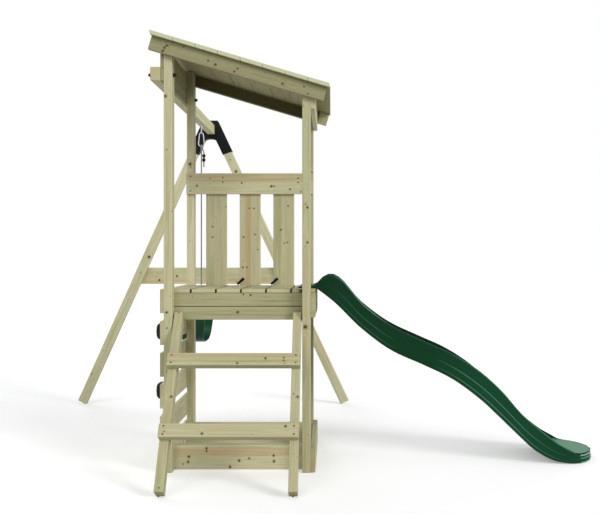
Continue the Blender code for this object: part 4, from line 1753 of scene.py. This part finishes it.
    def adjusters(self, black: bpy.types.Material) -> None:
        """Makes the two beads and the sleeve on each rope's tail.

        Args:
            black: Their finish.
        """
        shape = bmesh.new()
        bead, bore = self.bead, self.rope + 0.0006
        profile = [(bore, 0.0450)]
        for middle in (0.0335, 0.0030):
            profile += [
                (bead * math.cos(a), middle + 0.0135 * math.sin(a))
                for a in (1.0, 0.6, 0.2, -0.2, -0.6, -1.0)
            ]
            profile += [(0.0072, middle - 0.0134)]
        profile += [(bore, -0.0120), profile[0]]
        height = self.bead_height - self.hinge.z
        for side in (-1, 1):
            spot = self.hinge + Vector((self.tail_offset, side * self.spread, height))
            spun(shape, profile, Matrix.Translation(spot))
        made = piece_of("rope_adjusters", shape, black)
        smooth(made, 45)
        settle(made, Body.SWING, Slot.BLACK)

    def seat(self, plastic: bpy.types.Material, zinc: bpy.types.Material) -> None:
        """Makes the smooth seat and the eyelets at its rope holes.

        Args:
            plastic: The seat's finish.
            zinc: The eyelets' finish.
        """
        made = piece_of("seat_strip", merged_copy(self.nodes["swing_seat"]), plastic)
        smooth(made, 40)
        settle(made, Body.SWING, Slot.GREEN, "swing_seat")
        shape = bmesh.new()
        profile = [(0.0062, 0.0), (0.0095, 0.0), (0.0090, 0.0008), (0.0066, 0.0010), (0.0062, 0.0)]
        for side in (-1, 1):
            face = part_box("swing_seat")[0 if side < 0 else 1].y
            spot = Vector((self.hinge.x, face, self.hole))
            spun(shape, profile, turned_to(Vector((0, side, 0)), spot), 18)
        settle(piece_of("seat_eyelets", shape, zinc), Body.SWING, Slot.STEEL)

    def build(
        self, black: bpy.types.Material, green: bpy.types.Material, zinc: bpy.types.Material
    ) -> None:
        """Makes all of the swing's pieces.

        Args:
            black: The adjusters' finish.
            green: The seat's finish.
            zinc: The links' and eyelets' finish.
        """
        self.ropes()
        self.adjusters(black)
        self.seat(green, zinc)
        for name in ("swing_link_front", "swing_link_back"):
            shape = merged_copy(self.nodes[name], quads=False)
            made = piece_of(f"{name}_wire", shape, zinc)
            smooth(made, 60)
            settle(made, Body.SWING, Slot.STEEL, name)


@dataclass
class Pegs:
    """The two short black pegs that lean on the balusters' feet."""

    feet: tuple[float, float] = (0.296, 0.506)
    run: float = 0.042
    rise: float = 0.038
    y: float = 0.655
    deck: float = 0.986
    radius: float = 0.0080

    def build(self, black: bpy.types.Material) -> None:
        """Makes both pegs.

        Args:
            black: Their finish.
        """
        shape = bmesh.new()
        lean = Vector((self.run, 0.0, self.rise))
        length, r = lean.length, self.radius
        profile = [(0.0, 0.0), (r * 0.86, 0.0), (r, 0.0012), (r, length * 0.55)]
        profile += [(r * 1.15, length * 0.60), (r * 1.15, length - 0.004)]
        profile += [(r * 0.8, length - 0.0008), (0.0, length)]
        for x in self.feet:
            foot = Vector((x, self.y, self.deck + r * 0.75))
            spun(shape, profile, turned_to(lean, foot), 16)
        made = piece_of("leaning_pegs", shape, black)
        smooth(made, 40)
        settle(made, Body.TOWER, Slot.BLACK)


@dataclass
class Studio:
    """Floor, lights and the camera at the photograph's viewing angle."""

    eye: Point = (0.8775, -4.515, 1.161)
    shift: float = -31 / 600
    lens: float = 50.0
    sensor: float = 36.0
    far: float = 200.0
    floor_size: float = 60.0
    floor_middle: Point = (0.5, 8.0, -0.0006)
    floor_shade: Colour = paint(214, 214, 210)
    floor_seen: Colour = paint(250, 250, 250)
    floor_glow: float = 0.30
    sky: float = 0.36
    sky_shade: Colour = (0.97, 0.99, 1.0)

    def camera(self) -> None:
        """Sets the camera up."""
        data = bpy.data.cameras.new("photo_camera")
        data.lens, data.sensor_width, data.shift_x = self.lens, self.sensor, self.shift
        data.clip_end = self.far
        made = linked("photo_camera", data)
        made.location = self.eye
        made.rotation_euler = Euler((math.pi / 2, 0, 0))
        bpy.context.scene.camera = made

    def floor(self) -> None:
        """Lays a pale floor that the camera sees nearly white, with the part's shadow."""
        shader = Shader("studio_floor")
        seen = shader.seen()
        shade = shader.lay(seen, self.floor_shade, self.floor_seen)
        matt = shader.node("ShaderNodeBsdfDiffuse", None, {"Color": shade})
        light = {"Color": (1.0, 1.0, 1.0), "Strength": self.floor_glow}
        glow = shader.node("ShaderNodeEmission", None, light)
        lit = shader.node("ShaderNodeAddShader", None, {0: matt, 1: glow})
        shader.end(shader.node("ShaderNodeMixShader", None, {0: seen, 1: matt, 2: lit}))
        shape = bmesh.new()
        bmesh.ops.create_grid(shape, x_segments=2, y_segments=2, size=self.floor_size / 2)
        bmesh.ops.translate(shape, verts=shape.verts, vec=self.floor_middle)
        piece_of("studio_floor", shape, shader.owner)

    def world(self) -> None:
        """Sets a soft even sky that the camera sees as white."""
        shader = Shader("studio_sky", bpy.data.worlds.new("studio_sky"))
        light = {"Color": self.sky_shade, "Strength": self.sky}
        soft = shader.node("ShaderNodeBackground", None, light)
        white = shader.node("ShaderNodeBackground", None, {"Color": (1.0, 1.0, 1.0)})
        seen = shader.seen()
        mixed = shader.node("ShaderNodeMixShader", None, {0: seen, 1: soft, 2: white})
        shader.end(mixed, "ShaderNodeOutputWorld")
        bpy.context.scene.world = shader.owner

    def lamp(self, name: str, source: Point, spread: float, power: float) -> None:
        """Adds one soft, distant lamp, which lights near and far pieces alike.

        Args:
            name: Its name.
            source: The direction that its light comes from.
            spread: Its width in degrees.
            power: Its watts to the square metre.
        """
        data = bpy.data.lights.new(name, "SUN")
        data.angle, data.energy = math.radians(spread), power
        linked(name, data).rotation_euler = Vector(source).to_track_quat("Z", "Y").to_euler()

    def build(self) -> None:
        """Sets the stage."""
        bpy.context.scene.view_settings.view_transform = "Standard"
        self.world()
        self.floor()
        self.lamp("key", (0.72, -0.58, 0.38), 22.0, 1.75)
        self.lamp("fill", (-0.25, -0.80, 0.55), 40.0, 0.84)
        self.lamp("back", (-0.45, 0.75, 0.50), 40.0, 0.70)
        self.camera()


def slide_finishes() -> dict[SlidePart, bpy.types.Material]:
    """The slide's plastics, each with painted light and shade along the slide: highlights on its
    ribs, rim and nose, a painted reflection on the landing and painted shade inside the trough.

    Returns:
        The materials, by part.
    """
    deep = (12, 52, 29)
    # The shell painted paler where its waves would catch the light
    shell = ((0.80, *deep), (1.45, 12, 54, 30), (1.72, 18, 66, 40), (1.98, 18, 66, 40))
    shell += ((2.25, 16, 60, 36),)
    # Painted highlights along the ribs, bright where they would catch the light
    rib = ((0.90, 22, 62, 38), (0.99, 42, 88, 60), (1.14, 44, 92, 64), (1.25, 12, 54, 30))
    rib += ((1.45, 12, 54, 30), (1.62, 64, 118, 90), (1.92, 78, 132, 104), (2.06, 46, 98, 70))
    rib += ((2.22, 24, 70, 44),)
    # A painted highlight along the rim, turning to painted shade at its end
    rim = ((0.88, 20, 60, 38), (0.97, 86, 128, 108), (1.10, 86, 128, 108), (1.20, 18, 66, 41))
    rim += ((1.52, 18, 66, 41), (1.64, 44, 98, 70), (1.96, 54, 108, 80), (2.10, 60, 116, 88))
    rim += ((2.21, 60, 116, 88), (2.27, 6, 32, 20))
    # The landing painted paler as a reflection
    landing = ((2.14, 22, 70, 44), (2.21, 72, 130, 99))
    # The trough's sides painted dark as shade
    inside = ((0.88, *deep), (1.00, 16, 56, 34), (1.14, 6, 30, 18), (1.60, 6, 30, 18))
    inside += ((1.80, 8, 36, 22), (2.20, 6, 28, 17), (2.30, *deep))

    def plastic(
        part: SlidePart,
        run: Sequence[tuple[float, int, int, int]] = (),
        rough: float = 0.42,
        shine: float = 0.08,
        colour: tuple[int, int, int] = deep,
    ) -> bpy.types.Material:
        """One of the slide's plastics."""
        made = Moulded(
            f"slide_green_{part.name.lower()}",
            paint(*colour),
            paint(40, 96, 68),
            rough,
            grain=420.0,
            scuff=0.08,
            shine=shine,
            along=(0.06, 1.0, 1.0),
            run=tuple((x, paint(*shade)) for x, *shade in run),
        )
        return made.material()

    made = (
        plastic(SlidePart.SHELL, shell),
        plastic(SlidePart.RIB_HIGHLIGHT, rib),
        plastic(SlidePart.LANDING_REFLECTION, landing, 0.40, 0.12),
        plastic(SlidePart.RIM_HIGHLIGHT, rim),
        # A painted highlight on the nose
        plastic(SlidePart.GLEAM, (), 0.38, 0.16, (112, 172, 144)),
        plastic(SlidePart.INSIDE, inside, shine=0.06),
    )
    return dict(zip(SlidePart, made))


def main() -> None:
    """Dresses the part and sets the stage."""
    logging.basicConfig(level=logging.INFO, format="%(message)s")
    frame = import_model()
    nodes = frame["nodes"]
    slots = {part["node"]: part["material_slot"] for part in frame["record"]["subparts"]}
    hinge = Vector(frame["joints"][0]["pos_m"])

    moulding = Moulded("black_moulding", paint(5, 10, 8), paint(24, 32, 28), 0.50, shine=0.16)
    strip = Moulded("seat_green", paint(14, 64, 40), paint(40, 96, 70), 0.36, shine=0.20)
    black, slide_greens, green = moulding.material(), slide_finishes(), strip.material()
    steel = Zinc("galvanised", paint(196, 199, 200), paint(150, 154, 156), 0.30).material()
    plated = Zinc("plated_screw", paint(92, 82, 54), paint(56, 48, 28), 0.46).material()
    ropes = (
        Fibre("rope_pale", paint(196, 202, 204), paint(128, 136, 142)).material(),
        Fibre("rope_dark", paint(60, 66, 70), paint(26, 30, 34)).material(),
    )

    Timbers({n: o for n, o in nodes.items() if slots[n] == Slot.PINE.value}).dress()
    plain = {Slot.BLACK: black, Slot.GREEN: green, Slot.STEEL: steel, Slot.ROPE: ropes[0]}
    for name, node in nodes.items():
        if slots[name] != Slot.PINE.value:
            paint_node(node, plain[Slot(slots[name])])

    fixings = Fixings()
    fixings.build(plated, black)
    Slide(nodes["slide"]).build(slide_greens)
    Holds({n: o for n, o in nodes.items() if n.startswith("climbing_hold")}).build(black, steel)
    FrameBracket(nodes["frame_bracket"]).build(black, fixings)
    Swing(nodes, hinge, ropes).build(black, green, steel)
    Pegs().build(black)
    Studio().build()


if __name__ == "__main__":
    main()
